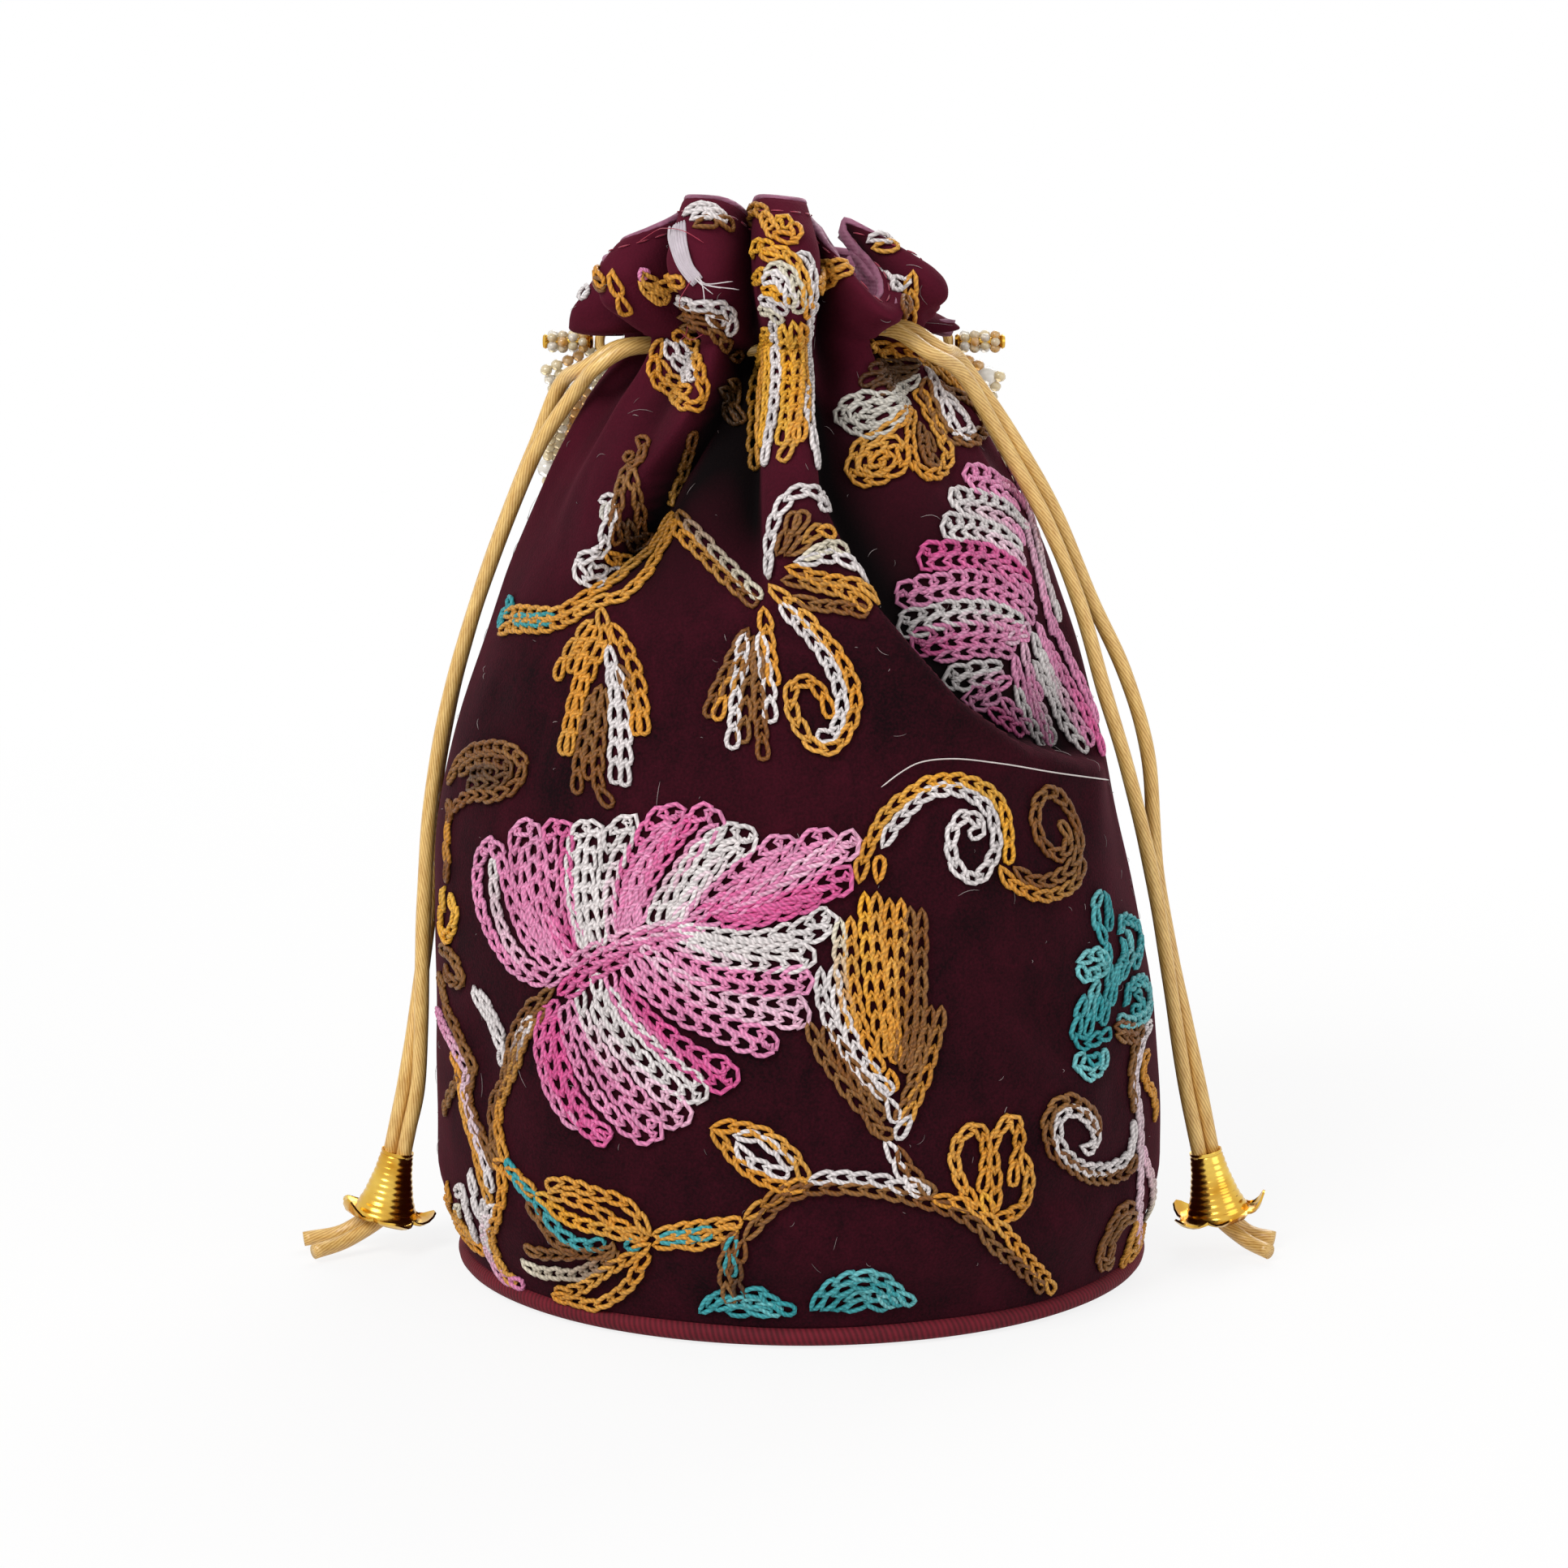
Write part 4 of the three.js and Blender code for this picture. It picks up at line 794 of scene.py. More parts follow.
lining = {"columns": 200, "flat": (0.43, 0.21), "thickness": 0.5, "rollRadius": 0.5, "neckTop": 188,
          "inside": [
    (2.3, 60), (2.4, 64.5), (4, 66.4), (19.9, 68), (60, 65), (97.9, 54), (130, 38), (154.9, 26), (172, 18.5),
    (180, 17.1), (188, 17.1)]}

# Mauve cotton sateen: a smooth plain face, faintly crossed by 0.4 mm threads, drawn coarser to show
mauveSateen, tree = startMaterial("mauve_cotton_sateen")
place = objectPlace(tree)
# painted shade: these crumples bump the lining and also darken its colour in their hollows
crumple = noiseAt(tree, place, 0.004, 4.0)
# straight bands repeat after half the period of slanting ones
weave = bandsAt(tree, place, "Z", bandPeriod / 2 / 0.0008, 1.0)
surface(tree, {"Roughness": 0.62, "Sheen Weight": 0.3, "Sheen Tint": linear("#d9a9bd")},
        {"Base Color": rampOf(tree, crumple, (0.3, "#6c394e"), (0.7, "#955874")),
         "Normal": bumpOf(tree, crumple, 0.7, 0.0014, bumpOf(tree, weave, 0.25, 0.0002))})


def liningRings(degs):
    # rings from the floor up to the neck, out behind the ruffle, and over its edge
    turn = np.radians(degs)
    level = lambda height: np.full_like(degs, height)
    rings = []
    for z in np.concatenate([[2.3, 2.4, 4], np.linspace(12, lining["neckTop"], 36)]):
        radius, x = smoothThrough(lining["inside"], np.array(z)), smoothThrough(bagShape["lean"], np.array(z))
        rings.append(np.stack([x + radius * np.sin(turn), -radius * np.cos(turn), level(z)], axis=-1))
    last = rings[-1]
    for height in np.linspace(193, bagShape["edge"], 14):
        behind = onCloth(degs, level(height), level(-1.9))
        share = ease((height - lining["neckTop"]) / 8)
        rings.append(last * (1 - share) + behind * share if share < 1 else behind)
    edge = cloth(degs, level(bagShape["edge"]))
    below = cloth(degs, level(bagShape["edge"] - 1.5))
    up = unit(edge - below)
    out = clothNormal(degs, level(bagShape["edge"]))
    for angle in np.radians(np.linspace(200, -40, 9)):
        roll = out * math.cos(angle) + up * math.sin(angle)
        rings.append(edge - 0.8 * out + 0.35 * up + lining["rollRadius"] * roll)
    return np.array(rings)


degs = np.linspace(-180, 180, lining["columns"], endpoint=False)
rings = liningRings(degs)
columns = lining["columns"]
faces = ringFaces(len(rings), columns)[2][:, [0, 3, 2, 1]].tolist() + [list(range(columns))]
liningBag = meshPiece("lining_bag", rings.reshape(-1, 3), faces)
thicken(liningBag, "cloth", lining["thickness"], 1)
bpy.ops.object.shade_smooth()
finishPiece(liningBag, mauveSateen, "bag", "lining_satin", "lining")
print("lining made")


# Base: a crimson cloth disc with a corded piping sewn round it

base = {"pipingRadius": 66.9, "pipingDiameter": 3.6, "pipingMiddle": 1.9,
        "panelRadius": 65.6, "panelTop": 1.9,
        "ribPitch": 1.1}

# Crimson corded cotton: slanting ribs on the piping, with painted shade in their grooves and a patchy tone
crimsonRib, tree = startMaterial("crimson_ribbed_cotton")
uv = addNode(tree, "ShaderNodeUVMap").outputs[0]
ribCount = round(2 * math.pi * base["pipingRadius"] / base["ribPitch"])
ribs = bandsAt(tree, scaledBy(tree, uv, (bandPeriod * ribCount, bandPeriod * 3, 1)), "DIAGONAL", 1.0, 0.8)
# painted shade: the colour follows the ribs, darker in their grooves, mixed with a patchy tone
worn = mixOf(tree, 0.6, ribs, noiseAt(tree, objectPlace(tree), 0.006, 5.0))
surface(tree, {"Roughness": 0.8, "Specular IOR Level": 0.25},
        {"Base Color": rampOf(tree, worn, (0.25, "#4a0f18"), (0.8, "#761a29")),
         "Normal": bumpOf(tree, ribs, 0.3, 0.0003)})

deselectAll()
bpy.ops.mesh.primitive_torus_add(major_segments=220, minor_segments=14,
                                 location=(0, 0, base["pipingMiddle"] * mm),
                                 major_radius=base["pipingRadius"] * mm,
                                 minor_radius=base["pipingDiameter"] / 2 * mm)
piping = newPiece("corded_piping")
bpy.ops.object.transform_apply(location=True, rotation=True, scale=True)
co = np.array([v.co for v in piping.data.vertices])
turn = np.arctan2(co[:, 1], co[:, 0])
co[:, 2] += 0.00018 * np.sin(9 * turn) * np.clip(co[:, 2] / 0.0038, 0, 1)
piping.data.vertices.foreach_set("co", co.ravel())
bpy.ops.object.shade_smooth()
finishPiece(piping, crimsonRib, "bag", "crimson_cloth", "base_piping")

deselectAll()
bpy.ops.mesh.primitive_circle_add(vertices=96, radius=base["panelRadius"] * mm, fill_type="NGON")
panel = newPiece("base_disc")
bpy.ops.object.mode_set(mode="EDIT")
bpy.ops.mesh.select_all(action="SELECT")
bpy.ops.mesh.extrude_region_move(TRANSFORM_OT_translate={"value": (0, 0, base["panelTop"] * mm)})
bpy.ops.mesh.inset(thickness=0.003)
bpy.ops.mesh.inset(thickness=0.03)
bpy.ops.mesh.select_all(action="SELECT")
bpy.ops.mesh.normals_make_consistent(inside=False)
bpy.ops.object.mode_set(mode="OBJECT")
edgeBevel = panel.modifiers.new("worn edge", "BEVEL")
edgeBevel.width = 0.0005
edgeBevel.segments = 3
edgeBevel.limit_method = "ANGLE"
applyAll(panel)
bpy.ops.object.shade_smooth_by_angle(angle=math.radians(40))
finishPiece(panel, crimsonRib, "bag", "crimson_cloth", "base_panel")
print("base made")


# Bead handle behind the neck: gold cord loops, gilt end bars, three strands of glass beads with pearls

handle = {"anchorReach": 40.5, "anchorDepth": 12, "anchorHeight": 180.9, "barLength": 10,
          "barDiameter": 4.6, "windings": 4, "wound": 5, "windingRadius": 1.4,
          "loopDiameter": 2, "beadDiameter": 2.5, "beadPitch": 2.25, "columnOffset": 1.15,
          "pearlDiameter": 4.4, "pearlPitch": 40, "strandSpacing": 4.7, "middle": (-5.5, 0, 97.9),
          "route": [(-117, 168, 7), (-124, 156, 5.4), (-132, 141, 4.6), (-143, 125, 4.4), (-156, 112, 4.4),
                    (-169, 105, 4.4)], "bottom": (180, 103, 4.4)}

# Pressed glass seed beads: champagne and amber, clear enough to glow at the edges
glassBead, tree = startMaterial("champagne_seed_beads")
# cloudy streaks about 1 mm wide inside the glass
cloud = noiseAt(tree, objectPlace(tree), 0.001, 2.0)
milk = rangeOf(tree, cloud, From_Min=0.3, From_Max=0.9, To_Max=0.5)
surface(tree, {"Roughness": 0.08, "IOR": 1.45, "Transmission Weight": 0.45, "Coat Weight": 0.5},
        {"Base Color": tintedBy(tree, milk, attribute(tree, "tint")["Color"], "#fff6e2")})


def anchorPoint(side):
    return np.array([bagShape["neckLean"] + side * handle["anchorReach"], handle["anchorDepth"],
                     handle["anchorHeight"]])


def handleLine():
    legs = {}
    for side in (-1, 1):
        leg = [onCloth(-side * d, h, np.array(lift), False) for d, h, lift in handle["route"]]
        clear = unit(leg[0] - anchorPoint(side)) * (handle["barDiameter"] / 2 + 0.3)
        legs[side] = [anchorPoint(side) + clear] + leg
    deg, height, lift = handle["bottom"]
    low = onCloth(deg, height, np.array(lift), False)
    return evenly(catmullRom(legs[-1] + [low] + legs[1][::-1], 24), 0.5)


def beadTemplate():
    # one pressed bead: a low sphere flattened at its two holes
    deselectAll()
    bpy.ops.mesh.primitive_uv_sphere_add(segments=8, ring_count=6, radius=1)
    bead = newPiece("bead")
    bpy.ops.object.mode_set(mode="EDIT")
    bpy.ops.mesh.select_all(action="SELECT")
    bpy.ops.transform.resize(value=(1, 1, 0.86), center_override=(0, 0, 0))
    bpy.ops.object.mode_set(mode="OBJECT")
    points = np.array([v.co for v in bead.data.vertices])
    faces = [list(p.vertices) for p in bead.data.polygons]
    bpy.data.objects.remove(bead)
    return points, faces


beadForm, beadFaces = beadTemplate()


def beadsPiece(name, beads, tints, node):
    # many beads as one mesh, from the points and the tint of each
    size = len(beadForm)
    faces = [[v + k * size for v in face] for k in range(len(beads)) for face in beadFaces]
    piece = meshPiece(name, np.vstack(beads), faces, None, np.repeat(tints, size, axis=0))
    finishPiece(piece, glassBead, "handle", "glass_beads", node)
    print(name, "beads", len(beads))


def beadStrand(index, line, offset, colour):
    tangent = unit(np.gradient(line, axis=0))
    outward = line - np.array(handle["middle"])
    outward = unit(outward - tangent * np.sum(outward * tangent, axis=1, keepdims=True))
    across = unit(np.cross(tangent, outward))
    strung = line + across * offset
    run = arcLength(strung)
    beads, tints = [], []
    # two columns of beads side by side, with their pearls apart
    for column, firstPearl in ((-1, 0.125), (1, 0.4)):
        at = 1.4
        pearlAt = handle["pearlPitch"] * (firstPearl + 0.5 * (index % 2))
        while at < run[-1] - 1.2:
            isPearl = at > pearlAt
            size = handle["pearlDiameter"] if isPearl else handle["beadDiameter"] * rng.uniform(0.92, 1.06)
            where = at + (0.5 * (handle["pearlDiameter"] - handle["beadPitch"]) if isPearl else 0)
            centre, ahead, up, beside = [along(where, run, a) for a in (strung, tangent, outward, across)]
            centre = centre + column * handle["columnOffset"] * beside
            spin = rng.uniform(0, 2 * np.pi)
            turned = up * math.cos(spin) + beside * math.sin(spin)
            beads.append(centre + size / 2 * (beadForm @ np.array([turned, np.cross(ahead, turned), ahead])))
            shade = "#fbf8f2" if isPearl else colour if rng.random() > 0.12 else "#faf1de"
            tints.append(np.array(linear(shade)) * np.array([rng.uniform(0.9, 1.05)] * 3 + [1]))
            at += handle["pearlDiameter"] if isPearl else handle["beadPitch"]
            pearlAt += handle["pearlPitch"] * isPearl
    beadsPiece("bead_string_" + str(index), beads, tints, "bead_strand_" + str(index))


def endBar(sideName, side):
    # a slim turned pin with a knob at each end, wound with rings of seed beads
    outline = [(0.6, -5), (1.2, -4.9), (1.5, -4.4), (1.2, -4), (0.8, -3.8)]
    outline += [(radius, -z) for radius, z in outline[::-1]]
    deselectAll()
    bpy.ops.mesh.primitive_circle_add(vertices=24, radius=outline[0][0] * mm, fill_type="NGON",
                                      location=(0, 0, outline[0][1] * mm))
    piece = newPiece("gilt_bar_" + sideName)
    bpy.ops.object.transform_apply(location=True, rotation=True, scale=True)
    bpy.ops.object.mode_set(mode="EDIT")
    bpy.ops.mesh.select_all(action="SELECT")
    for (r0, z0), (r1, z1) in zip(outline[:-1], outline[1:]):
        bpy.ops.mesh.extrude_region_move(TRANSFORM_OT_translate={"value": (0, 0, (z1 - z0) * mm)})
        bpy.ops.transform.resize(value=(r1 / r0, r1 / r0, 1), center_override=(0, 0, z1 * mm))
    bpy.ops.mesh.select_all(action="SELECT")
    bpy.ops.mesh.normals_make_consistent(inside=False)
    bpy.ops.object.mode_set(mode="OBJECT")
    bpy.ops.object.shade_smooth_by_angle(angle=math.radians(40))
    lying = Matrix.Rotation(math.radians(90), 4, "Y")
    piece.data.transform(Matrix.Translation(anchorPoint(side) * mm) @ lying)
    finishPiece(piece, giltBrass, "handle", "gilt_metal", "handle_bar_" + sideName)
    beads, tints = [], []
    for ring in range(handle["windings"]):
        for k in range(handle["wound"]):
            around = 2 * math.pi * (k + 0.5 * (ring % 2)) / handle["wound"]
            aside = handle["windingRadius"] * np.array([0, math.cos(around), math.sin(around)])
            centre = anchorPoint(side) + np.array([2 * ring - 3, 0, 0]) + aside
            beads.append(centre + rng.uniform(1.0, 1.12) * beadForm)
            tints.append(linear(("#f3e0b4", "#eab45a", "#faf6ee", "#f4e7c6")[(ring + 2 * k) % 4]))
    beadsPiece("bar_beads_" + sideName, beads, tints, "handle_bar_" + sideName)


def cordLoop(sideName, side, valley):
    reach = handle["barLength"] / 2 + 0.6 + handle["loopDiameter"] / 2
    barEnd = anchorPoint(side) - np.array([side * reach, 0, 0])
    spread = handle["loopDiameter"] + 0.3
    up = np.array([0, 0, spread])
    root = lambda rise: onCloth(valley, bagShape["neck"] + 1 + rise, np.array(1.5), False)
    half = root(0) * 0.45 + barEnd * 0.55
    points = [root(spread), half + up, barEnd + 0.7 * up, barEnd - 0.7 * up, half - up, root(-spread)]
    line = evenly(catmullRom(points, 14), 0.7)
    piece = tubePiece("gold_loop_" + sideName, line, handle["loopDiameter"] / 2, 10)
    finishPiece(piece, satinCord, "bag", "gold_cord", "handle_loop_" + sideName)


line = handleLine()
for index, colour in ((1, "#f1ddae"), (2, "#e9ae50"), (3, "#f3e4c0")):
    beadStrand(index, line, (index - 2) * handle["strandSpacing"], colour)
for sideName, side, valley in (("left", -1, -105.5), ("right", 1, 111.5)):
    endBar(sideName, side)
    cordLoop(sideName, side, valley)
print("handle made")


# Chain-stitch embroidery. A motif's first line gives its name, its slot and where it is sewn: twice is on
# the front and the back, behind is also on the unseen back but as thread alone, once is on the front, and
# alone has no solid of its own. Each row below is a line of the photograph's pixels, from the first stitch
# to the last, after the colour of its thread, or two colours where the thread is shaded along the row. A row
# that starts with + is sewn on from the tip of the row above it, and a line that starts with a space goes on
# with its row.

threads = {"pink": "#ea8dba", "deep": "#e15a9a", "pale": "#f5c2d8", "white": "#ebe2e1", "cream": "#e4dac3",
           "orange": "#de962f", "gold": "#f0ab2c", "brown": "#7e4b19", "dark": "#4f2d0e", "grey": "#cfc9be",
           "teal": "#329da4", "aqua": "#6dc3c7"}
stitch = {"pitch": 3.5, "link": 4.8, "halfWidth": 1.1, "thread": 0.98, "ringPoints": 10, "sides": 5,
          "lowest": 4.6, "highest": 211, "flatArm": 60, "seekPixels": 5}

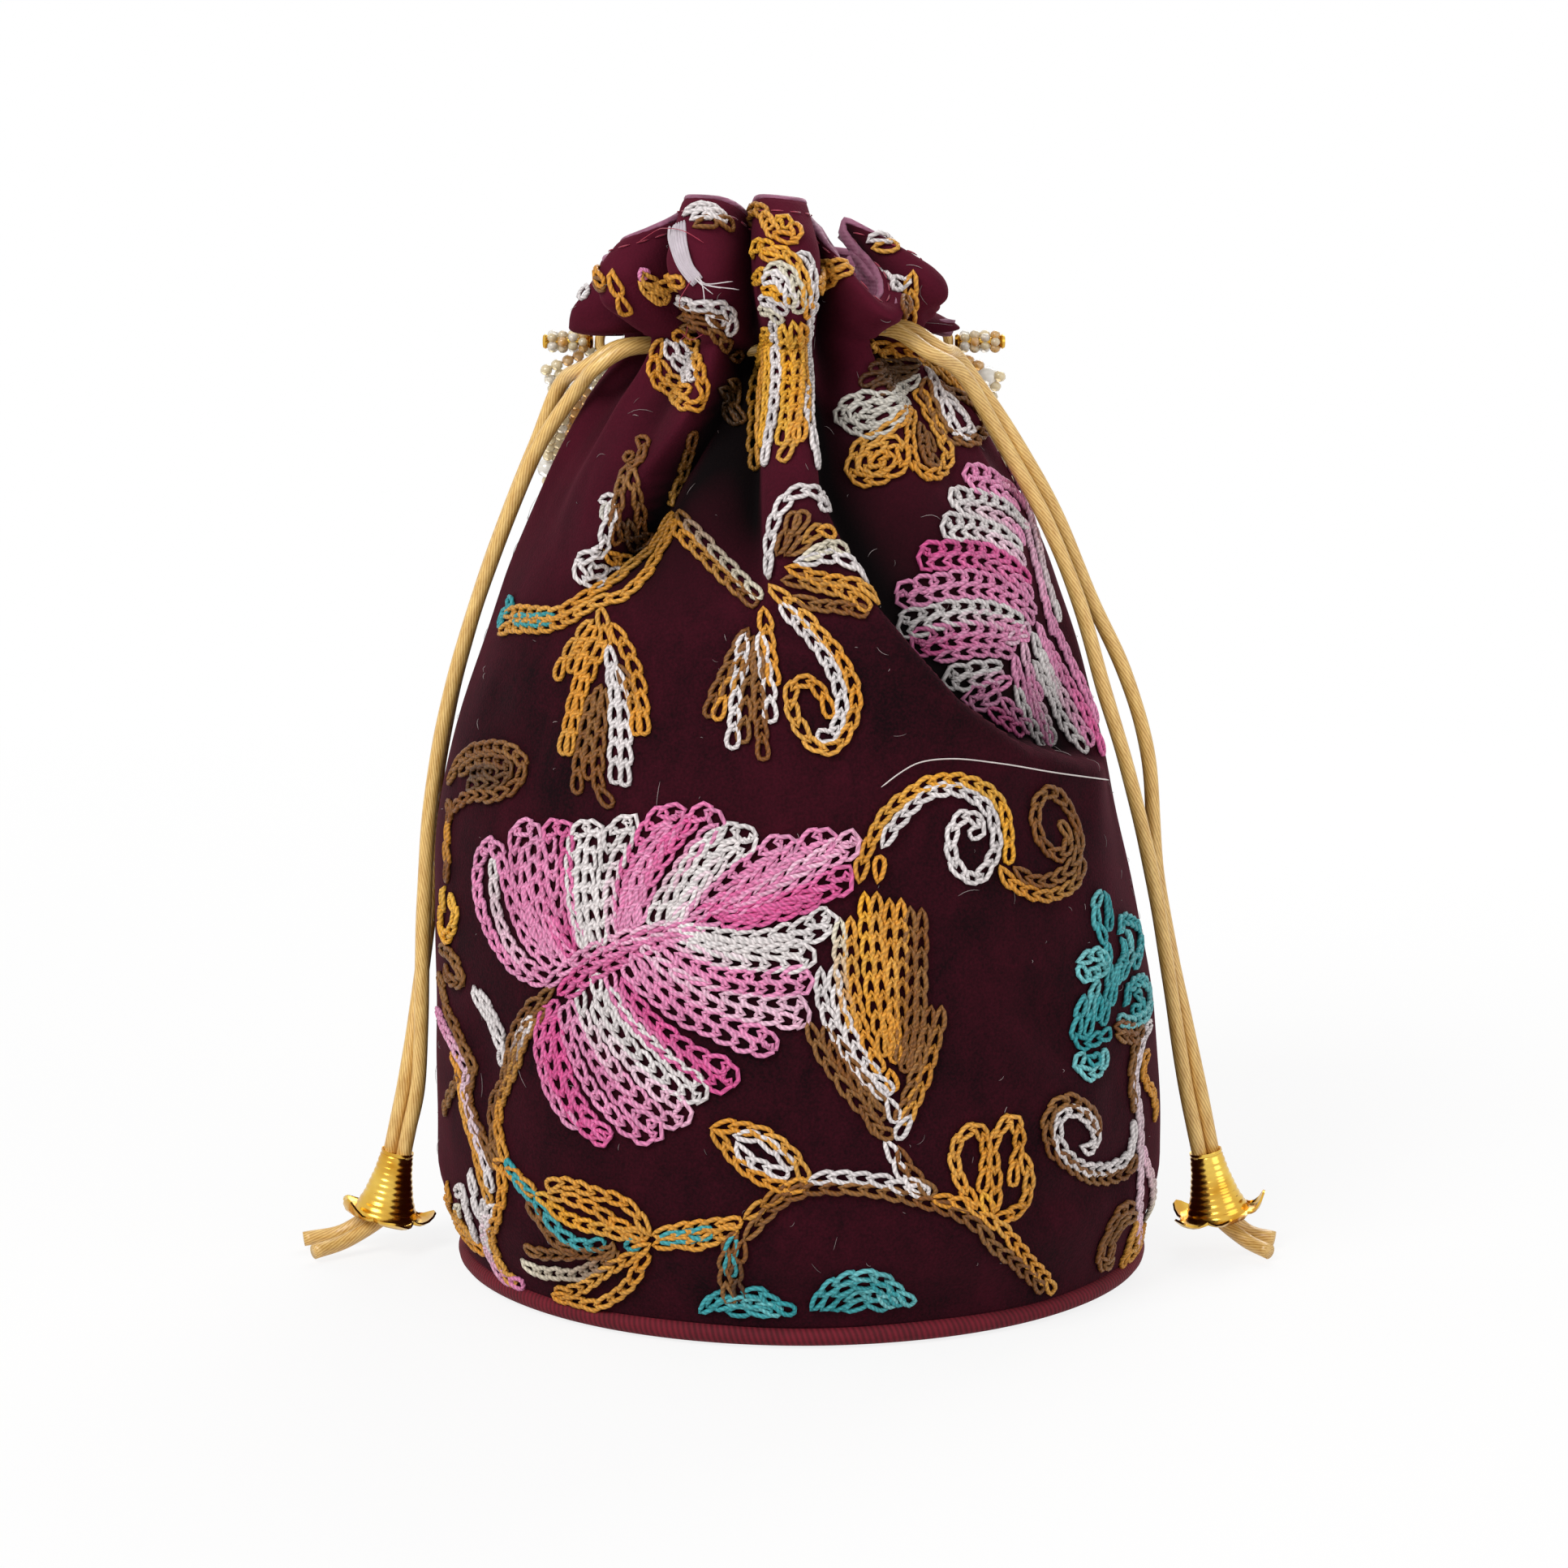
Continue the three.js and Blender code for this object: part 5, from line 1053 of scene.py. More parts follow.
embroidery = """
lotus_flower pink_thread twice
pink 606,1040 594,1060 592,1100 610,1155 640,1195 675,1212
+pink 606,1040 620,1055 627,1086 639,1128 657,1165 682,1189
white>pink 612,1055 611,1075 613,1110 625,1150 650,1188 680,1204
pink 640,1025 638,1055 642,1090 655,1130 680,1170 700,1190
+pink 662,1022 660,1060 665,1095 675,1130 695,1165 712,1185
pink>deep 680,1022 682,1060 687,1100 695,1135 712,1170
+deep>pink 702,1022 700,1060 703,1095 710,1130 722,1165
white 713,1025 708,1060 708,1100 714,1135 725,1170
+white 737,1020 730,1055 728,1095 732,1130 738,1165
white 758,1022 750,1055 744,1090 744,1130 748,1165
+white>pale 783,1012 770,1045 757,1080 754,1120 758,1160
deep>pink 815,1005 795,1030 775,1065 766,1105 764,1150
+pink 840,1003 815,1040 792,1075 780,1110 778,1145
deep>pink 868,1000 838,1030 812,1070 798,1105 790,1140
+pink>white 885,1012 858,1045 832,1080 812,1115 803,1140
white 895,1020 860,1050 838,1085 825,1115 815,1140
white 905,1022 875,1052 850,1085 835,1115 825,1138
+white>pale 928,1035 895,1058 865,1090 848,1115 835,1138
pink 962,1036 930,1058 895,1085 870,1108 850,1128
+pink>deep 975,1045 940,1068 905,1095 880,1115 858,1132
pink 1012,1028 975,1052 935,1080 900,1105 870,1125
+pink>deep 1022,1037 985,1060 945,1087 910,1108 880,1128
pale>pink 1050,1033 1010,1055 970,1078 930,1102 890,1122
+pink 1052,1042 1015,1062 975,1086 935,1108 895,1130
deep 1040,1075 1005,1092 965,1108 925,1120 885,1132
+deep 1043,1088 1005,1103 965,1117 930,1127 890,1138
deep 1010,1112 975,1122 940,1132 905,1140
white 1022,1126 985,1142 945,1153 905,1153 865,1147 835,1143
+white 1020,1142 985,1155 945,1163 905,1163 865,1157 835,1150
white 992,1168 955,1172 915,1173 880,1168 845,1158
+white>pale 992,1185 955,1188 920,1187 885,1182 850,1168 830,1155
pink 990,1200 950,1203 915,1203 880,1197 845,1182 815,1162
+pink 992,1213 955,1218 915,1217 880,1211 845,1197 812,1172
pale 985,1236 950,1236 915,1231 880,1222 845,1206 810,1182 790,1165
+pale>pink 985,1258 950,1254 915,1248 880,1238 845,1222 812,1200 790,1178
pink 945,1276 915,1266 885,1255 850,1240 820,1220 793,1195 778,1175
+pink 950,1292 915,1285 885,1272 850,1257 820,1237 790,1212 770,1188
deep 900,1318 870,1303 840,1285 812,1262 788,1235 768,1205
+deep>pink 893,1338 865,1322 835,1303 808,1282 782,1255 760,1222 752,1195
white 864,1335 840,1318 815,1297 790,1273 768,1247 750,1215
+white 858,1352 832,1338 805,1315 780,1290 758,1262 740,1228 735,1200
pale>white 845,1365 815,1345 790,1322 768,1297 748,1268 732,1235
+pink>white 832,1382 805,1365 780,1342 757,1315 738,1285 722,1250 717,1220
pink 812,1390 785,1372 762,1348 742,1320 725,1290 712,1258 705,1230
+pink 797,1400 770,1385 747,1362 727,1335 712,1305 700,1270 697,1240
deep 752,1402 730,1380 712,1350 700,1318 692,1285 690,1250
+deep 738,1400 715,1378 697,1350 685,1320 678,1288 680,1255 688,1232
pink>deep 715,1390 692,1365 677,1335 668,1300 668,1268 678,1240
deep>pink 690,1225 725,1190 780,1160 835,1145 890,1130
pink>pale 676,1216 706,1188 762,1158 812,1145 850,1136
deep>pink 700,1228 738,1198 788,1172 830,1154 868,1143
pink 651,1040 650,1075 654,1110 666,1145 688,1178
pink>deep 672,1038 672,1075 677,1112 688,1145 706,1176
white 722,1040 718,1075 718,1112 723,1145 731,1168
pink 828,1014 804,1038 783,1072 773,1108 770,1146
deep>pink 852,1010 824,1040 800,1078 788,1112 783,1142
white 912,1036 884,1058 858,1090 842,1115 830,1138

tulip_bud orange_thread twice
brown 995,1258 1008,1290 1030,1325 1055,1358 1080,1385
brown 1015,1262 1025,1290 1045,1320 1068,1350 1088,1378
brown 1030,1280 1045,1305 1065,1335 1090,1365
white 1010,1192 1012,1230 1025,1262 1045,1300 1068,1330 1092,1352
white 1026,1190 1030,1225 1042,1262 1060,1300 1080,1328 1098,1345
cream>orange 1034,1132 1034,1165 1036,1200 1042,1235 1055,1270
orange 1048,1130 1048,1165 1050,1200 1055,1240 1068,1285 1085,1320
gold>orange 1063,1100 1065,1140 1068,1180 1072,1220 1080,1260 1090,1300
orange 1078,1100 1078,1140 1082,1180 1086,1220 1092,1260 1096,1300
orange 1094,1108 1094,1145 1096,1185 1098,1225 1100,1265 1102,1310
orange>brown 1108,1108 1108,1145 1110,1185 1110,1225 1110,1265 1108,1310
brown 1120,1118 1120,1155 1122,1190 1122,1230 1120,1270 1114,1320
brown 1134,1120 1134,1155 1133,1190 1133,1230 1130,1270 1124,1320
brown 1146,1240 1140,1270 1132,1305 1120,1345 1105,1380
brown>orange 1158,1240 1153,1275 1143,1310 1130,1345 1112,1385
orange 1095,1318 1100,1344
brown 1066,1372 1085,1395 1102,1398
white 1092,1352 1100,1368 1104,1384

curled_tendril orange_thread twice
orange>gold 1058,1087 1060,1068 1072,1035 1087,1007 1112,983 1139,966 1170,960 1200,966 1225,983
 1237,1010 1240,1041 1241,1064
brown>brown 1247,1070 1258,1080 1277,1087 1301,1081 1320,1062 1327,1035 1320,1010 1307,986 1289,974
 1275,992 1274,1020 1286,1044 1304,1053 1314,1035 1304,1013
orange>brown 1230,1068 1236,1080 1255,1095 1280,1103 1304,1100 1323,1085 1332,1060
orange 1081,1087 1083,1065 1087,1044
white 1086,1044 1096,1023 1118,998 1142,978 1170,972 1194,980 1216,998 1223,1023 1225,1044 1216,1066
 1200,1084 1182,1075 1171,1053 1171,1029 1180,1010 1194,1006 1208,1020 1194,1029

ground_vine brown_thread twice
orange 806,1520 830,1516 861,1510 893,1507 914,1505
orange>brown 918,1501 939,1485 961,1469 989,1457
white 996,1454 1024,1449 1055,1451 1086,1455 1114,1462 1143,1469
orange 806,1533 830,1529 855,1532 883,1523 908,1513
brown 918,1527 933,1508 955,1486 980,1470 1011,1463 1049,1464 1086,1468 1124,1477 1152,1484 1183,1497
 1205,1512 1218,1530 1243,1549 1268,1570 1283,1588
orange>orange 1146,1475 1174,1480 1202,1491 1227,1510 1249,1532 1268,1554 1286,1574 1296,1590
brown 908,1516 899,1535 893,1560 896,1585 902,1604
brown>dark 916,1526 911,1554 908,1579 914,1600
teal 906,1520 901,1545 901,1570
teal 812,1527 850,1521 880,1516
white 1089,1405 1099,1419 1105,1438 1121,1457 1138,1466
brown 1105,1413 1114,1435 1133,1457 1150,1472
white 1121,1373 1111,1388 1103,1404

right_pink_flower pink_thread once
pink 1192,582 1210,584 1232,590 1250,605 1262,625
+pink 1196,596 1215,600 1238,612 1255,625
white 1175,612 1200,613 1225,618 1248,630 1265,650
+white>pink 1178,625 1200,630 1225,638 1247,650 1262,668
white 1163,645 1188,644 1213,648 1238,660 1258,678
+white>pale 1168,658 1190,657 1215,663 1240,676 1262,695
deep 1138,680 1165,676 1195,675 1222,682 1247,697 1268,718
+deep>pink 1140,694 1168,692 1198,692 1225,700 1250,715 1272,735
pink 1110,728 1135,720 1165,714 1195,712 1225,718 1250,733 1275,755
+pink 1112,742 1140,735 1170,730 1200,728 1228,735 1255,750 1272,765
white 1112,765 1140,755 1170,748 1200,747 1230,753 1258,765
+white>pink 1118,778 1145,768 1175,762 1205,760 1235,768 1262,780
pink 1126,788 1155,780 1185,775 1215,775 1245,780 1265,788
+deep>pink 1135,800 1160,794 1190,789 1218,789 1248,795
pink 1151,812 1170,806 1198,802 1225,802 1245,805
white 1165,830 1182,826 1205,822 1232,820
+white>pale 1178,842 1193,839 1212,836 1235,832
pink 1193,857 1206,850 1222,844 1243,835
+pink 1205,868 1215,862 1231,855
deep 1214,872 1234,886 1259,902
pink 1230,860 1248,879 1268,899
white 1248,846 1258,870 1270,895 1285,917
pink 1258,840 1268,865 1280,890 1294,917
pink>white 1262,830 1272,858 1285,885 1298,915
white 1270,815 1282,840 1298,870 1318,905 1338,925
white>pink 1278,800 1292,830 1308,860 1328,895 1345,918
pink>deep 1285,790 1300,815 1315,845 1330,870 1345,900 1358,930
pink 1290,760 1305,790 1320,825 1335,855 1350,890
pink>white 1240,555 1250,575 1260,600 1268,630 1278,665 1285,700 1295,735 1305,765
pale>pink 1262,640 1272,680 1280,715 1288,750 1296,780
white 1268,780 1278,805 1290,832 1302,858
pale>pink 1256,790 1262,815 1270,840 1280,862
pink 1246,806 1250,828 1256,850
pale 1236,792 1250,784 1266,772
pink 1276,768 1284,790 1293,812 1304,838

teal_flower teal_thread behind
aqua>teal 1353,1097 1346,1120 1350,1143 1360,1160
teal 1358,1100 1363,1123 1363,1146
teal 1376,1150 1379,1136 1393,1133 1403,1143 1404,1166 1396,1189
aqua>teal 1386,1146 1393,1166 1386,1186 1379,1203
teal 1379,1156 1383,1176 1376,1196 1373,1213
aqua 1326,1186 1336,1180 1353,1176 1360,1189 1346,1199 1333,1203 1328,1189
teal 1360,1160 1363,1186 1363,1213 1360,1239 1356,1262
teal 1373,1189 1369,1216 1366,1239
aqua>teal 1350,1206 1343,1229 1340,1252 1336,1276
teal>aqua 1383,1239 1389,1219 1403,1206 1414,1213 1416,1233 1406,1252 1389,1259 1376,1256
teal 1396,1226 1403,1226 1406,1239 1393,1246
teal 1333,1226 1326,1252 1323,1276 1333,1286 1350,1279 1366,1272
teal 1352,1225 1350,1245 1348,1265
aqua 1333,1296 1325,1312 1340,1324 1356,1312 1360,1292
teal 1336,1302 1346,1309 1352,1298
brown 1371,1265 1383,1265 1399,1269
brown 1373,1274 1386,1276 1401,1278

upper_petals brown_thread once
orange 1076,428 1092,430 1108,432 1126,439 1141,447 1153,454 1167,466 1177,475 1191,483 1203,496
orange 1084,436 1094,439 1105,439
dark 1134,449 1112,450 1088,450 1070,455
dark 1130,456 1105,462 1080,466 1060,474
dark 1126,463 1100,474 1075,483
grey 1132,464 1124,475 1110,482 1086,491 1060,492 1045,499 1034,514 1047,526 1066,534 1084,531 1100,520
 1110,507 1118,491
grey 1112,490 1086,500 1070,503 1057,507 1054,515 1065,521 1081,517 1097,508
orange 1122,504 1110,514 1100,526 1089,534 1074,543 1061,547 1054,561 1050,573 1050,583 1058,591
 1074,592 1090,587 1105,579 1112,570 1110,554 1105,546 1094,546 1086,553 1074,558 1065,566 1064,575
 1070,581 1086,581 1096,573 1096,563 1086,563 1078,569 1084,574
orange 1124,504 1122,518 1120,531 1120,547 1121,561 1125,573 1132,581 1144,586 1157,583 1165,571
 1167,558 1160,545 1155,530 1149,521 1142,507 1137,494 1129,483
brown 1132,521 1136,541 1138,558 1147,573 1153,563
brown 1140,530 1146,545 1150,558
brown 1140,467 1142,487 1151,504 1153,518 1164,534 1175,541 1188,545 1204,542 1213,531 1212,518 1205,504
 1193,494 1177,486 1164,476 1156,470
white 1142,454 1148,464 1152,476 1157,491 1163,504 1168,516 1173,528 1180,534 1189,536 1196,531 1196,523
 1190,513 1181,503 1170,493 1161,486

left_petals orange_thread behind
orange 732,765 712,790 697,815 688,838
orange 738,772 718,800 703,828
orange 740,785 722,815 712,850 703,890 695,930
orange 748,790 730,825 718,860 710,895 702,930
brown 735,855 725,890 718,925 713,978
brown 742,845 735,885 730,920 726,960
brown 748,850 745,890 740,930 740,970 755,993
white 752,795 757,835 760,880 760,920 760,965
white 758,820 768,855 772,895 773,935 772,968
orange 755,770 770,795 785,830 793,870 795,905
brown>orange 765,820 778,850 785,880 785,905
orange 742,750 746,775 750,800

centre_petals brown_thread behind
brown 922,775 905,810 888,845 872,885
brown>orange 928,785 912,820 897,850 882,888
white 918,780 911,832 906,878 901,923
brown 928,810 922,850 918,890 915,915
brown 935,800 935,850 938,900 941,936
white 937,780 943,820 949,862 950,890
orange 940,750 944,775 948,805 955,845

vine_tulip orange_thread behind
orange 1202,1488 1186,1463 1177,1441 1174,1419 1183,1398 1202,1388 1211,1404 1214,1426 1211,1448
 1208,1469
orange 1221,1494 1224,1469 1224,1441 1221,1407 1233,1388 1246,1376 1252,1394 1252,1419 1246,1441
 1246,1460
orange 1255,1419 1264,1441 1264,1466 1258,1485 1239,1498 1224,1504
gold>orange 1208,1469 1214,1485 1226,1497

teal_leaf_left teal_thread behind
teal 864,1616 880,1601 893,1592
teal 915,1590 936,1591 955,1604 980,1616
teal>aqua 880,1612 896,1603 920,1602 945,1608 962,1616
teal 896,1614 924,1612 950,1616

teal_leaf_right teal_thread behind
teal>aqua 999,1612 1018,1588 1043,1573 1068,1569 1089,1576 1108,1591 1124,1604
teal 1011,1612 1030,1592 1055,1580 1080,1582 1099,1595 1111,1606
teal>aqua 1024,1612 1046,1597 1068,1591 1089,1599 1102,1608
teal 1039,1613 1061,1604 1080,1604 1093,1610

left_branch orange_thread behind
orange 624,759 638,754 657,756 673,756 688,756 704,749 717,740 729,733 742,725 759,716 773,704 784,694
 793,688 805,676 814,661 822,647 828,633
orange 616,780 628,773 643,771 662,774 680,771 697,766 711,759 728,749 745,742 762,738 776,731 788,719
 800,706 810,690 819,673 828,657 832,642
orange>brown 829,623 829,610 836,595 841,578 847,556 852,533
teal 636,763 655,765 683,765
teal 628,735 630,749 620,759 616,772
orange>brown 832,642 840,656 848,666 859,678 876,695 905,725 932,745
brown>cream 838,630 848,645 861,660 882,683 912,713 938,738

left_brown_leaf brown_thread behind
brown 553,965 570,935 600,922 630,925 648,945 640,965 615,980 585,980 560,995
brown>dark 568,955 590,938 615,937 632,948 622,962 600,967 578,968
dark 582,955 602,950 615,955
brown 553,985 556,1000 552,1015
orange>brown 556,1010 553,1022 552,1045 554,1067 550,1084

vine_leaf white_thread behind
orange 877,1390 905,1387 936,1394 964,1410 983,1432 993,1454
orange 877,1390 889,1404 905,1426 924,1444 949,1457 974,1462 993,1456
white 905,1399 933,1401 955,1416 977,1438
white 908,1407 921,1426 943,1438 971,1448

vine_petal_upper orange_thread behind
orange 804,1520 794,1506 786,1493 771,1481 754,1474 733,1468 714,1460 691,1456 676,1461
orange 677,1470 695,1472 714,1479 733,1487 746,1495 760,1506 779,1516 800,1522
gold>orange 662,1472 675,1477 683,1487 695,1497 710,1504 729,1510 746,1514 769,1519 794,1524

vine_petal_lower orange_thread behind
orange 802,1531 786,1541 769,1552 752,1562 737,1573 721,1583 706,1590 687,1592
orange 683,1597 698,1604 714,1607 733,1609 748,1602 763,1592 777,1581 788,1562 798,1544

left_stem brown_thread behind
brown 684,1216 670,1230 656,1241 642,1261 634,1281 628,1309 623,1331 614,1351 609,1370 611,1393 611,1415
 617,1435
brown>orange 676,1241 662,1258 651,1275 642,1295 637,1314 628,1337 620,1359 617,1382 620,1404 625,1429
white>brown 660,1252 648,1270 640,1290 632,1320
orange 610,1431 629,1441 645,1453 660,1470
orange 620,1436 622,1458 620,1480 614,1504 608,1519 612,1539 622,1562 631,1583 637,1602
white>pink 612,1484 602,1506 600,1528 606,1548 618,1568 630,1590 644,1612

left_outer_stem brown_thread once
brown 541,1196 547,1219 552,1241 566,1269 575,1292 586,1314 583,1331 581,1354 586,1376 597,1399 606,1421
 614,1438
pink>white 538,1236 547,1261 558,1283 572,1306 580,1320 575,1342 580,1365 586,1387 595,1413 603,1438
 607,1468
orange 558,1296 566,1311 570,1331 573,1359 580,1387 588,1410 594,1438 600,1460 608,1484
brown 572,1323 558,1342 547,1368
gold 549,1093 546,1118 544,1140 550,1154 561,1140 564,1121 555,1104
brown 544,1166 555,1174 569,1196 572,1208 556,1205 548,1191

right_stem white_thread once
white>pale 1416,1256 1406,1279 1399,1305 1396,1325 1399,1352 1403,1385 1403,1418 1403,1451 1403,1484
 1404,1511 1408,1544
brown 1406,1262 1396,1292 1392,1319 1393,1345 1396,1368
pale>cream 1404,1412 1413,1438 1422,1465 1428,1491 1431,1511

neck_bud orange_thread once
gold>orange 948,404 939,434 932,470 928,510 926,545 927,580
orange 946,425 942,465 938,505 935,545 934,570
gold 952,410 950,440 948,480 945,520 941,550
white 956,391 959,443 959,477 952,529 943,573
gold 966,398 970,430 972,470 970,510 964,548
gold>orange 976,395 980,430 982,470 981,510 976,545 963,568
orange 986,397 988,440 989,480 988,515 982,545
white 994,391 996,443 993,503 1000,547 1006,577
cream 945,341 955,331 967,333 979,349 985,368 983,384
white 943,349 955,341 965,347 973,360 977,376
gold 942,358 953,355 963,362 969,374
white 940,370 951,368 961,376 969,386
cream 940,382 950,380 958,388 964,396
gold 932,347 947,337

pleat_curl orange_thread once
white 961,743 986,771 1010,801 1028,832 1036,862 1032,893 1022,908 1007,905
orange 950,721 969,739 980,746 1004,774 1028,801 1047,835 1053,862 1047,893 1028,921 1007,921 986,899
 975,869 980,844 998,841 1013,856 1024,884

pleat_petals brown_thread alone
white 950,712 951,673 957,638 969,617 987,606 1005,608 1017,615 1008,622
brown 959,684 969,661 982,631
brown 968,684 978,661 992,631
brown>orange 972,684 989,670 1005,654 1028,659
cream 987,689 1010,677 1028,673 1044,684
white 980,693 1005,689 1024,686 1047,695 1065,716
orange 969,698 987,702 1005,712 1028,716 1056,721 1083,741
brown>orange 964,716 987,716 1014,723 1047,732 1070,751
brown 978,735 1005,746 1037,748 1070,755

left_leaf brown_thread alone
brown 785,542 795,552 788,571 773,580 767,599 764,616 757,633 755,650 760,668
brown 783,578 781,602 785,623 788,640 793,659 795,673
dark 762,640 770,660 780,680
dark 772,640 780,660 788,678
brown 771,563 780,566
white 740,618 755,617 754,633 747,647 743,664 740,678 728,683 716,695 717,709 726,717 742,716 754,709
 764,702
grey 748,622 750,640
white 728,692 730,703 738,704 748,697
orange 743,678 759,688 773,697

vine_petal_middle brown_thread alone
brown 756,1530 756,1539 739,1543 714,1543 693,1543 668,1543 649,1537
cream>brown 645,1551 656,1560 672,1567 691,1568 710,1569 729,1562 746,1554 763,1543
teal 626,1426 637,1449 645,1462 660,1475 673,1495 689,1514 702,1525 717,1531 733,1533 746,1530
brown 652,1479 668,1502 683,1522 698,1535 712,1539
teal 772,1535 790,1528

white_leaf white_thread alone
white 586,1216 595,1236 606,1253 614,1275 623,1295 617,1309
white 594,1220 604,1240 614,1260 622,1280

white_cluster white_thread alone
white 582,1441 585,1458 587,1474 593,1500
white 563,1468 574,1468 576,1487 582,1506 588,1530
white 601,1474 600,1497 600,1516 603,1540
cream>orange 566,1481 564,1497 570,1508
orange 551,1454 553,1468 551,1485 556,1500 566,1506 576,1516 584,1528 597,1540
orange 560,1508 572,1520 586,1534

right_spiral brown_thread alone
brown 1350,1398 1346,1378 1333,1362 1313,1355 1297,1362 1288,1382 1290,1402 1300,1422 1320,1438
 1343,1450 1366,1451 1386,1443 1398,1425
white 1330,1413 1341,1415 1348,1400 1340,1380 1323,1367 1308,1370 1300,1385 1302,1406 1313,1425
 1333,1437 1353,1440 1374,1433 1389,1420 1394,1402 1395,1380
brown 1396,1484 1376,1494 1363,1518 1353,1544 1360,1557 1371,1552
brown 1399,1494 1383,1504 1370,1528 1366,1551
orange 1399,1501 1393,1524 1386,1548 1379,1565
orange 1404,1511 1400,1538 1394,1562
orange 1409,1508 1417,1528 1422,1551 1416,1561
orange 1413,1292 1406,1312 1409,1332 1420,1345 1424,1375

ruffle_stitches orange_thread alone
brown>orange 920,264 930,259 938,259 945,268 952,282
orange 947,272 957,290 968,294 978,296 982,288 977,277
gold 956,276 964,270 970,277 962,284
gold>orange 930,318 932,306 942,304 953,312 963,312 973,319 983,333 989,349 993,368 995,388
orange 940,312 955,318 968,318
white 979,315 990,317 997,329 999,349 999,368 999,388
orange 1003,352 1015,343 1026,329 1038,319
orange 1007,356 1019,349 1034,337 1044,328
white 1070,299 1082,293 1096,287
orange 1076,307 1090,305 1106,297
orange 1125,335 1123,353 1125,368 1123,384 1117,402
brown 1112,366 1114,384 1115,398
white 1121,339 1114,349 1106,359
white 844,267 865,257 887,263
white 852,272 873,264 893,270
brown 855,280 878,273 902,280
orange 790,334 800,347 822,352 844,347
orange 787,347 805,360 822,369
orange 794,360 813,369 822,382
pink 789,332 795,341
orange 755,334 759,352 766,373 774,385
orange>brown 731,326 740,343 753,352
white 720,352 725,369
brown 735,345 746,352
white 831,374 857,374 883,375 898,386 900,412
white 870,384 885,396 890,408
brown 835,391 857,383 878,388 894,400
brown 838,402 862,398 884,412 896,430
orange 813,417 806,451 814,477 835,491 857,499 865,477 861,447 848,423 828,410
white 822,418 827,434 836,451 848,469
white 832,420 842,436 850,452 856,468
orange 813,445 820,462 836,476 850,484
brown 898,440 917,436
brown 896,469 904,503 915,521
dark 884,480 896,504 908,524
"""

# pixels are found again on the cloth through the camera, always on the nearest layer
gridDeg, gridHeight = np.meshgrid(np.arange(-112, 112.1, 0.5), np.arange(4.4, 211.8, 0.6))
gridDeg, gridHeight = gridDeg.ravel(), gridHeight.ravel()
gridPixels, gridDepth = toPixels(cloth(gridDeg, gridHeight))
clothTree = kdtree.KDTree(len(gridDeg))
for k, (px, py) in enumerate(gridPixels):
    clothTree.insert((px, py, 0), k)
clothTree.balance()


def findOnCloth(pixels):
    spots = []
    for px, py in pixels:
        near = clothTree.find_range((px, py, 0), stitch["seekPixels"])
        found = min(near, key=lambda hit: gridDepth[hit[1]])[1] if near else clothTree.find((px, py, 0))[1]
        spots.append((gridDeg[found], gridHeight[found]))
    spots = np.array(spots)
    aim = np.array(pixels, float)
    for _ in range(2):
        here = toPixels(cloth(spots[:, 0], spots[:, 1]))[0]
        byDeg = (toPixels(cloth(spots[:, 0] + 0.2, spots[:, 1]))[0] - here) / 0.2
        byHeight = (toPixels(cloth(spots[:, 0], spots[:, 1] + 0.2))[0] - here) / 0.2
        miss = aim - here
        area = byDeg[:, 0] * byHeight[:, 1] - byDeg[:, 1] * byHeight[:, 0]
        area = np.where(np.abs(area) < 4, 1e9, area)
        move = np.stack([(miss[:, 0] * byHeight[:, 1] - miss[:, 1] * byHeight[:, 0]) / area,
                         (byDeg[:, 0] * miss[:, 1] - byDeg[:, 1] * miss[:, 0]) / area], axis=1)
        spots = spots + np.clip(move, -0.6, 0.6)
    spots[:, 1] = np.clip(spots[:, 1], stitch["lowest"], stitch["highest"])
    return spots


def readRows(text):
    rows = []
    for entry in text.replace("\n ", " ").splitlines():
        name, *pairs = entry.lstrip("+").split()
        colours = [linear(threads[c]) for c in name.split(">")]
        colours = colours * 2 if len(colours) == 1 else colours
        pixels = [tuple(map(float, pair.split(","))) for pair in pairs]
        if entry.startswith("+"):
            before, beforePixels = rows.pop()
            colours, pixels = before[::-1] + colours, beforePixels[::-1] + pixels
        rows.append((colours, pixels))
    return [(np.array(colours), findOnCloth(pixels)) for colours, pixels in rows]


def linkTemplate():
    # the faces of one chain link, a thin ring
    deselectAll()
    bpy.ops.mesh.primitive_torus_add(major_segments=stitch["ringPoints"], minor_segments=stitch["sides"],
                                     major_radius=1, minor_radius=0.3)
    ring = newPiece("chain_link")
    faces = np.array([list(p.vertices) for p in ring.data.polygons])
    uvs = np.array([d.uv[:] for d in ring.data.uv_layers[0].data])
    bpy.data.objects.remove(ring)
    return faces, uvs


linkFaces, linkUvs = linkTemplate()
# the ring is drawn out to a teardrop, with its narrow start over the link before
linkAlong = np.array([0, 0.2, 0.45, 0.72, 0.92, 1, 0.92, 0.72, 0.45, 0.2])
linkAside = np.array([0.12, 0.5, 0.85, 1, 0.72, 0, -0.72, -1, -0.85, -0.5])
linkLift = np.array([0.35, 1.15, 1.0, 0.75, 0.5, 0.42, 0.5, 0.75, 1.0, 1.15])


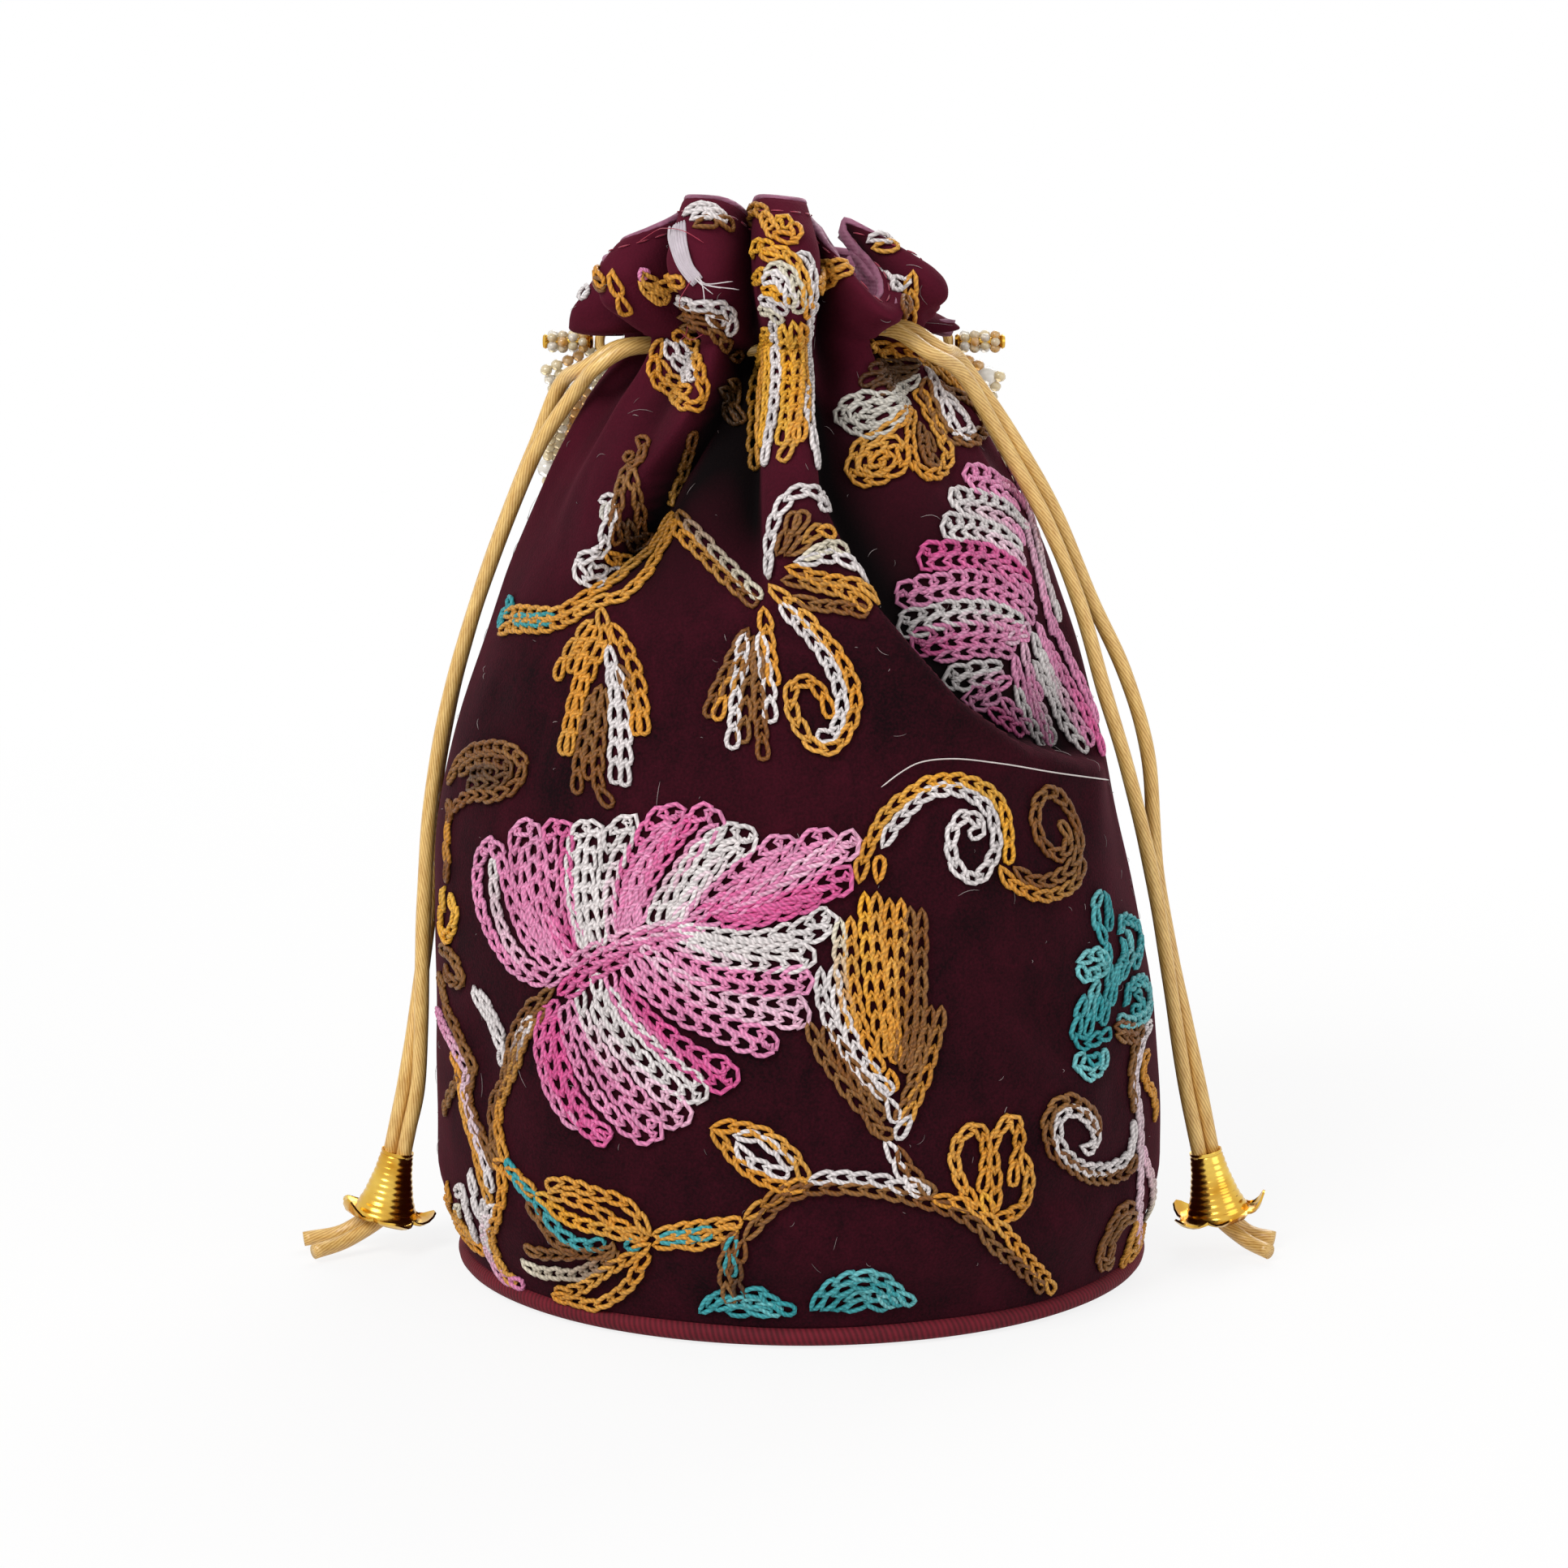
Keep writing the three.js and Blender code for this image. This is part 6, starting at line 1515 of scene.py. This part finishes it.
def stitchRow(stops, spots, turn):
    # every link of one row, laid along the cloth
    arm = math.radians(stitch["flatArm"])
    flat = np.column_stack([spots[:, 0] * arm, spots[:, 1], np.zeros(len(spots))])
    curve = catmullRom(flat, 10) if len(flat) > 2 else np.linspace(flat[0], flat[-1], 12)
    deg = curve[:, 0] / arm + turn
    height = np.clip(curve[:, 1], stitch["lowest"], stitch["highest"])
    line = cloth(deg, height)
    normal = clothNormal(deg, height)
    run = arcLength(line)
    links = max(1, int(round((run[-1] - stitch["link"]) / stitch["pitch"])) + 1)
    pitch = (run[-1] - stitch["link"]) / (links - 1) if links > 1 else 0
    start = np.arange(links) * pitch
    length = min(stitch["link"], run[-1]) * rng.uniform(0.95, 1.06, links)
    at = start[:, None] + linkAlong[None] * length[:, None]
    up = unit(along(at, run, normal))
    ahead = along(at, run, unit(np.gradient(line, axis=0)))
    ahead = unit(ahead - up * np.sum(ahead * up, axis=-1, keepdims=True))
    beside = np.cross(up, ahead)
    share = np.arange(links) / max(links - 1, 1)
    # two rows sewn as one turn round a petal's tip, where the links are fuller
    fuller = 1 + 0.36 * np.sin(np.pi * share) ** 2 * (len(stops) > 2)
    width = stitch["halfWidth"] * rng.uniform(0.88, 1.1, (links, 1)) * fuller[:, None] * linkAside[None]
    width = width + rng.normal(0, 0.08, (links, 1))
    rise = 0.05 + stitch["thread"] * linkLift[None] * 0.62 + rng.uniform(-0.03, 0.08, (links, 1))
    centre = along(at, run, line) + beside * width[..., None] + up * rise[..., None]
    around = unit(np.roll(centre, -1, axis=1) - np.roll(centre, 1, axis=1))
    outward = unit(np.cross(around, up))
    above = np.cross(outward, around)
    angle = 2 * np.pi * np.arange(stitch["sides"]) / stitch["sides"]
    section = (outward[:, :, None] * np.cos(angle)[None, None, :, None]
               + above[:, :, None] * np.sin(angle)[None, None, :, None])
    points = centre[:, :, None] + stitch["thread"] / 2 * section
    places = np.linspace(0, 1, len(stops))
    colour = np.stack([np.interp(share, places, stops[:, c]) for c in range(4)], axis=1)
    # space-dyed thread: paler and deeper by turns along the row
    faded = 0.1 + 0.1 * np.sin(start / rng.uniform(3, 6) + rng.uniform(0, 6))
    faded = faded + rng.uniform(-0.06, 0.08, links)
    colour[:, :3] += (colour[:, :3] ** 0.6 - colour[:, :3]) * np.clip(faded * 1.6, 0, 0.45)[:, None]
    colour[:, :3] *= rng.uniform(0.84, 1.08, (links, 1))
    # painted shade: links that lie deep in a fold are made darker
    shadeInFold = np.interp(start + length / 2, run, foldShadeAt(deg, height))
    colour[:, :3] *= (1 - 0.55 * shadeInFold ** 2)[:, None]
    return points.reshape(links, -1, 3), colour


# Rayon floss: two-ply silky thread, paler where the plies catch the light
flossThread, tree = startMaterial("rayon_floss")
uv = addNode(tree, "ShaderNodeUVMap").outputs[0]
# plies cross the thread every 0.9 mm of a 10 mm link
ply = scaledBy(tree, uv, (bandPeriod * 11, bandPeriod * 2, 1))
twist = bandsAt(tree, ply, "DIAGONAL", 1.0, 1.2, Detail=2.0)
plies = mixOf(tree, 0.4, twist, noiseAt(tree, objectPlace(tree), 0.0004, 3.0))
shadow = rangeOf(tree, plies, From_Min=0.15, From_Max=0.85, To_Min=0.6, To_Max=1.08)
surface(tree, {"Roughness": 0.5, "Specular IOR Level": 0.32},
        {"Base Color": threadColour(tree, shadow), "Normal": bumpOf(tree, plies, 0.6, 0.0003)})


def stitchMotif(name, rows, slotName, nodes, turn=0):
    sewn = [stitchRow(stops, spots, turn) for stops, spots in rows]
    links, colours = [np.concatenate(parts) for parts in zip(*sewn)]
    size = links.shape[1]
    faces = (linkFaces[None] + size * np.arange(len(links))[:, None, None]).reshape(-1, 4)
    piece = meshPiece(name, links.reshape(-1, 3), faces, np.tile(linkUvs, (len(links), 1)),
                      np.repeat(colours, size, axis=0))
    finishPiece(piece, flossThread, "bag", slotName, *nodes)
    return len(links)


stitches = 0
for block in embroidery.strip().split("\n\n"):
    heading, text = block.split("\n", 1)
    name, slotName, where = heading.split()
    rows = readRows(text)
    if where == "twice":
        stitches += stitchMotif("stitched_front_" + name, rows, slotName, ["front_" + name])
        stitches += stitchMotif("stitched_back_" + name, rows, slotName, ["back_" + name], 180)
        continue
    stitches += stitchMotif("stitched_" + name, rows, slotName, [] if where == "alone" else [name])
    if where == "behind":
        stitches += stitchMotif("stitched_behind_" + name, rows, slotName, [], 180)
print("embroidery made:", stitches, "chain links")

# Loose ends: the hem's stitching, a satin-stitched band come undone, stray threads, and lint on the pile

looseEnds = {"hemBelow": 2.6, "hemStitch": 2.4, "hemGap": 1.3, "hemThread": 0.36, "lint": 420, "fibre": 0.048,
             "strayThread": 0.28, "sides": 5}

# Mercerised cotton sewing thread: smooth and tight, its colour worn uneven along its length
sewingThread, tree = startMaterial("mercerised_thread")
# worn patches about 1.5 mm long
worn = noiseAt(tree, objectPlace(tree), 0.0015, 3.0)
surface(tree, {"Roughness": 0.5, "Sheen Weight": 0.2},
        {"Base Color": threadColour(tree, rangeOf(tree, worn, To_Min=0.75, To_Max=1.15))})


def threadsPiece(name, lines, slotName):
    # many fine threads as one mesh: each line is a path in millimetres, a radius and a colour
    points, faces, uvs, tints = [], [], [], []
    sides = looseEnds["sides"]
    filled = 0
    for path, radius, shade in lines:
        ends = np.ones(len(path))
        ends[[0, -1]] = 0.45
        p, f, u = tubeParts(path, radius * ends, sides)
        count = len(p)
        f = f.tolist() + [list(range(sides))[::-1], list(range(count - sides, count))]
        faces += [[v + filled for v in face] for face in f]
        uvs.append(np.vstack([u.reshape(-1, 2), np.zeros((2 * sides, 2))]))
        points.append(p)
        tints.append(np.tile(shade, (count, 1)))
        filled += count
    piece = meshPiece(name, np.vstack(points), faces, np.vstack(uvs), np.vstack(tints))
    finishPiece(piece, sewingThread, "bag", slotName)


def hemStitches():
    deg = np.linspace(-180, 180, 1441)
    height = np.full_like(deg, bagShape["edge"] - looseEnds["hemBelow"])
    line = onCloth(deg, height, np.full_like(deg, 0.22))
    run = arcLength(line)
    step = looseEnds["hemStitch"] + looseEnds["hemGap"]
    lines = []
    for start in np.arange(0, run[-1] - step, step):
        path = along(start + np.linspace(0, looseEnds["hemStitch"], 4), run, line)
        lines.append((path, looseEnds["hemThread"] / 2, linear("#8e1736")))
    return lines


def acrossCloth(pixels, lifts, spacing=1.0):
    # a thread laid over the cloth along a line of the photograph
    spots = findOnCloth(pixels)
    places = onCloth(spots[:, 0], spots[:, 1], np.asarray(lifts, float))
    return evenly(catmullRom(places, 10), spacing)


def lintFibres():
    lines = []
    for _ in range(looseEnds["lint"]):
        deg, height = rng.uniform(-180, 180), rng.uniform(6, 208)
        way, bend = rng.uniform(0, 2 * np.pi), rng.uniform(-1.2, 1.2)
        size = rng.choice([0.7, 1.6, 3.2, 6], p=[0.35, 0.3, 0.22, 0.13])
        t = np.linspace(0, 1, 5)
        heading = way + bend * t
        arm = max(float(smoothThrough(bagShape["profile"], np.array(height))), 20)
        d = deg + np.degrees(np.cumsum(np.cos(heading)) * size / 5 / arm)
        h = np.clip(height + np.cumsum(np.sin(heading)) * size / 5, 5, 210)
        path = onCloth(d, h, 0.15 + 0.25 * np.sin(np.pi * t) * rng.uniform(0.3, 1.5))
        shade = np.array(linear("#cdbdbb")) * np.array([rng.uniform(0.15, 0.75)] * 3 + [1])
        lines.append((path, looseEnds["fibre"] * rng.uniform(0.6, 1.1), shade))
    return lines


threadsPiece("hem_stitches", hemStitches(), "velvet")
satin = []
for k in range(7):
    aside = k - 3
    top = [(834 + 3.2 * aside, 276 - 1.2 * aside), (838 + 2.8 * aside, 303), (846 + 2.5 * aside, 328),
           (860 + 1.6 * aside, 347 - 1.5 * aside)]
    lift = 0.45 * math.cos(0.4 * aside)
    path = acrossCloth(top, [0.2, 0.4 + lift, 0.5 + lift, 0.4])
    satin.append((path, 0.34 + 0.06 * (k % 2), linear("#c3b7bf")))
for k, (px, py) in enumerate(((874, 358), (880, 352), (868, 366), (888, 344), (892, 352))):
    path = acrossCloth([(850 + 2 * k, 336), (862 + k, 348), (px, py)], [0.6, 0.9, 1.8 + 0.5 * k])
    satin.append((path, 0.11, linear("#d3c9cc")))
threadsPiece("undone_satin_band", satin, "white_thread")
white, red = linear("#d6ccc8"), linear("#a31638")
stray = looseEnds["strayThread"] / 2
loose = [
    (acrossCloth([(1085, 970), (1108, 952), (1130, 940), (1170, 935), (1230, 941), (1290, 950), (1360, 960)],
                 [0.4, 0.7, 0.7, 0.5, 0.8, 1.1, 1.2]), stray, white),
    (acrossCloth([(787, 300), (805, 289), (825, 285), (848, 290), (866, 300)], [0.5, 1.4, 1.8, 1.4, 0.6]),
     0.6 * stray, red),
    (acrossCloth([(853, 345), (846, 362), (841, 385), (842, 408), (836, 420)], [0.8, 1.8, 1.8, 1.6, 0.9]),
     0.6 * stray, red),
    (acrossCloth([(838, 408), (856, 412), (868, 408)], [0.8, 1.5, 0.8]), 0.6 * stray, red),
]
threadsPiece("stray_threads", loose, "white_thread")
threadsPiece("lint", lintFibres(), "white_thread")
print("loose ends made")
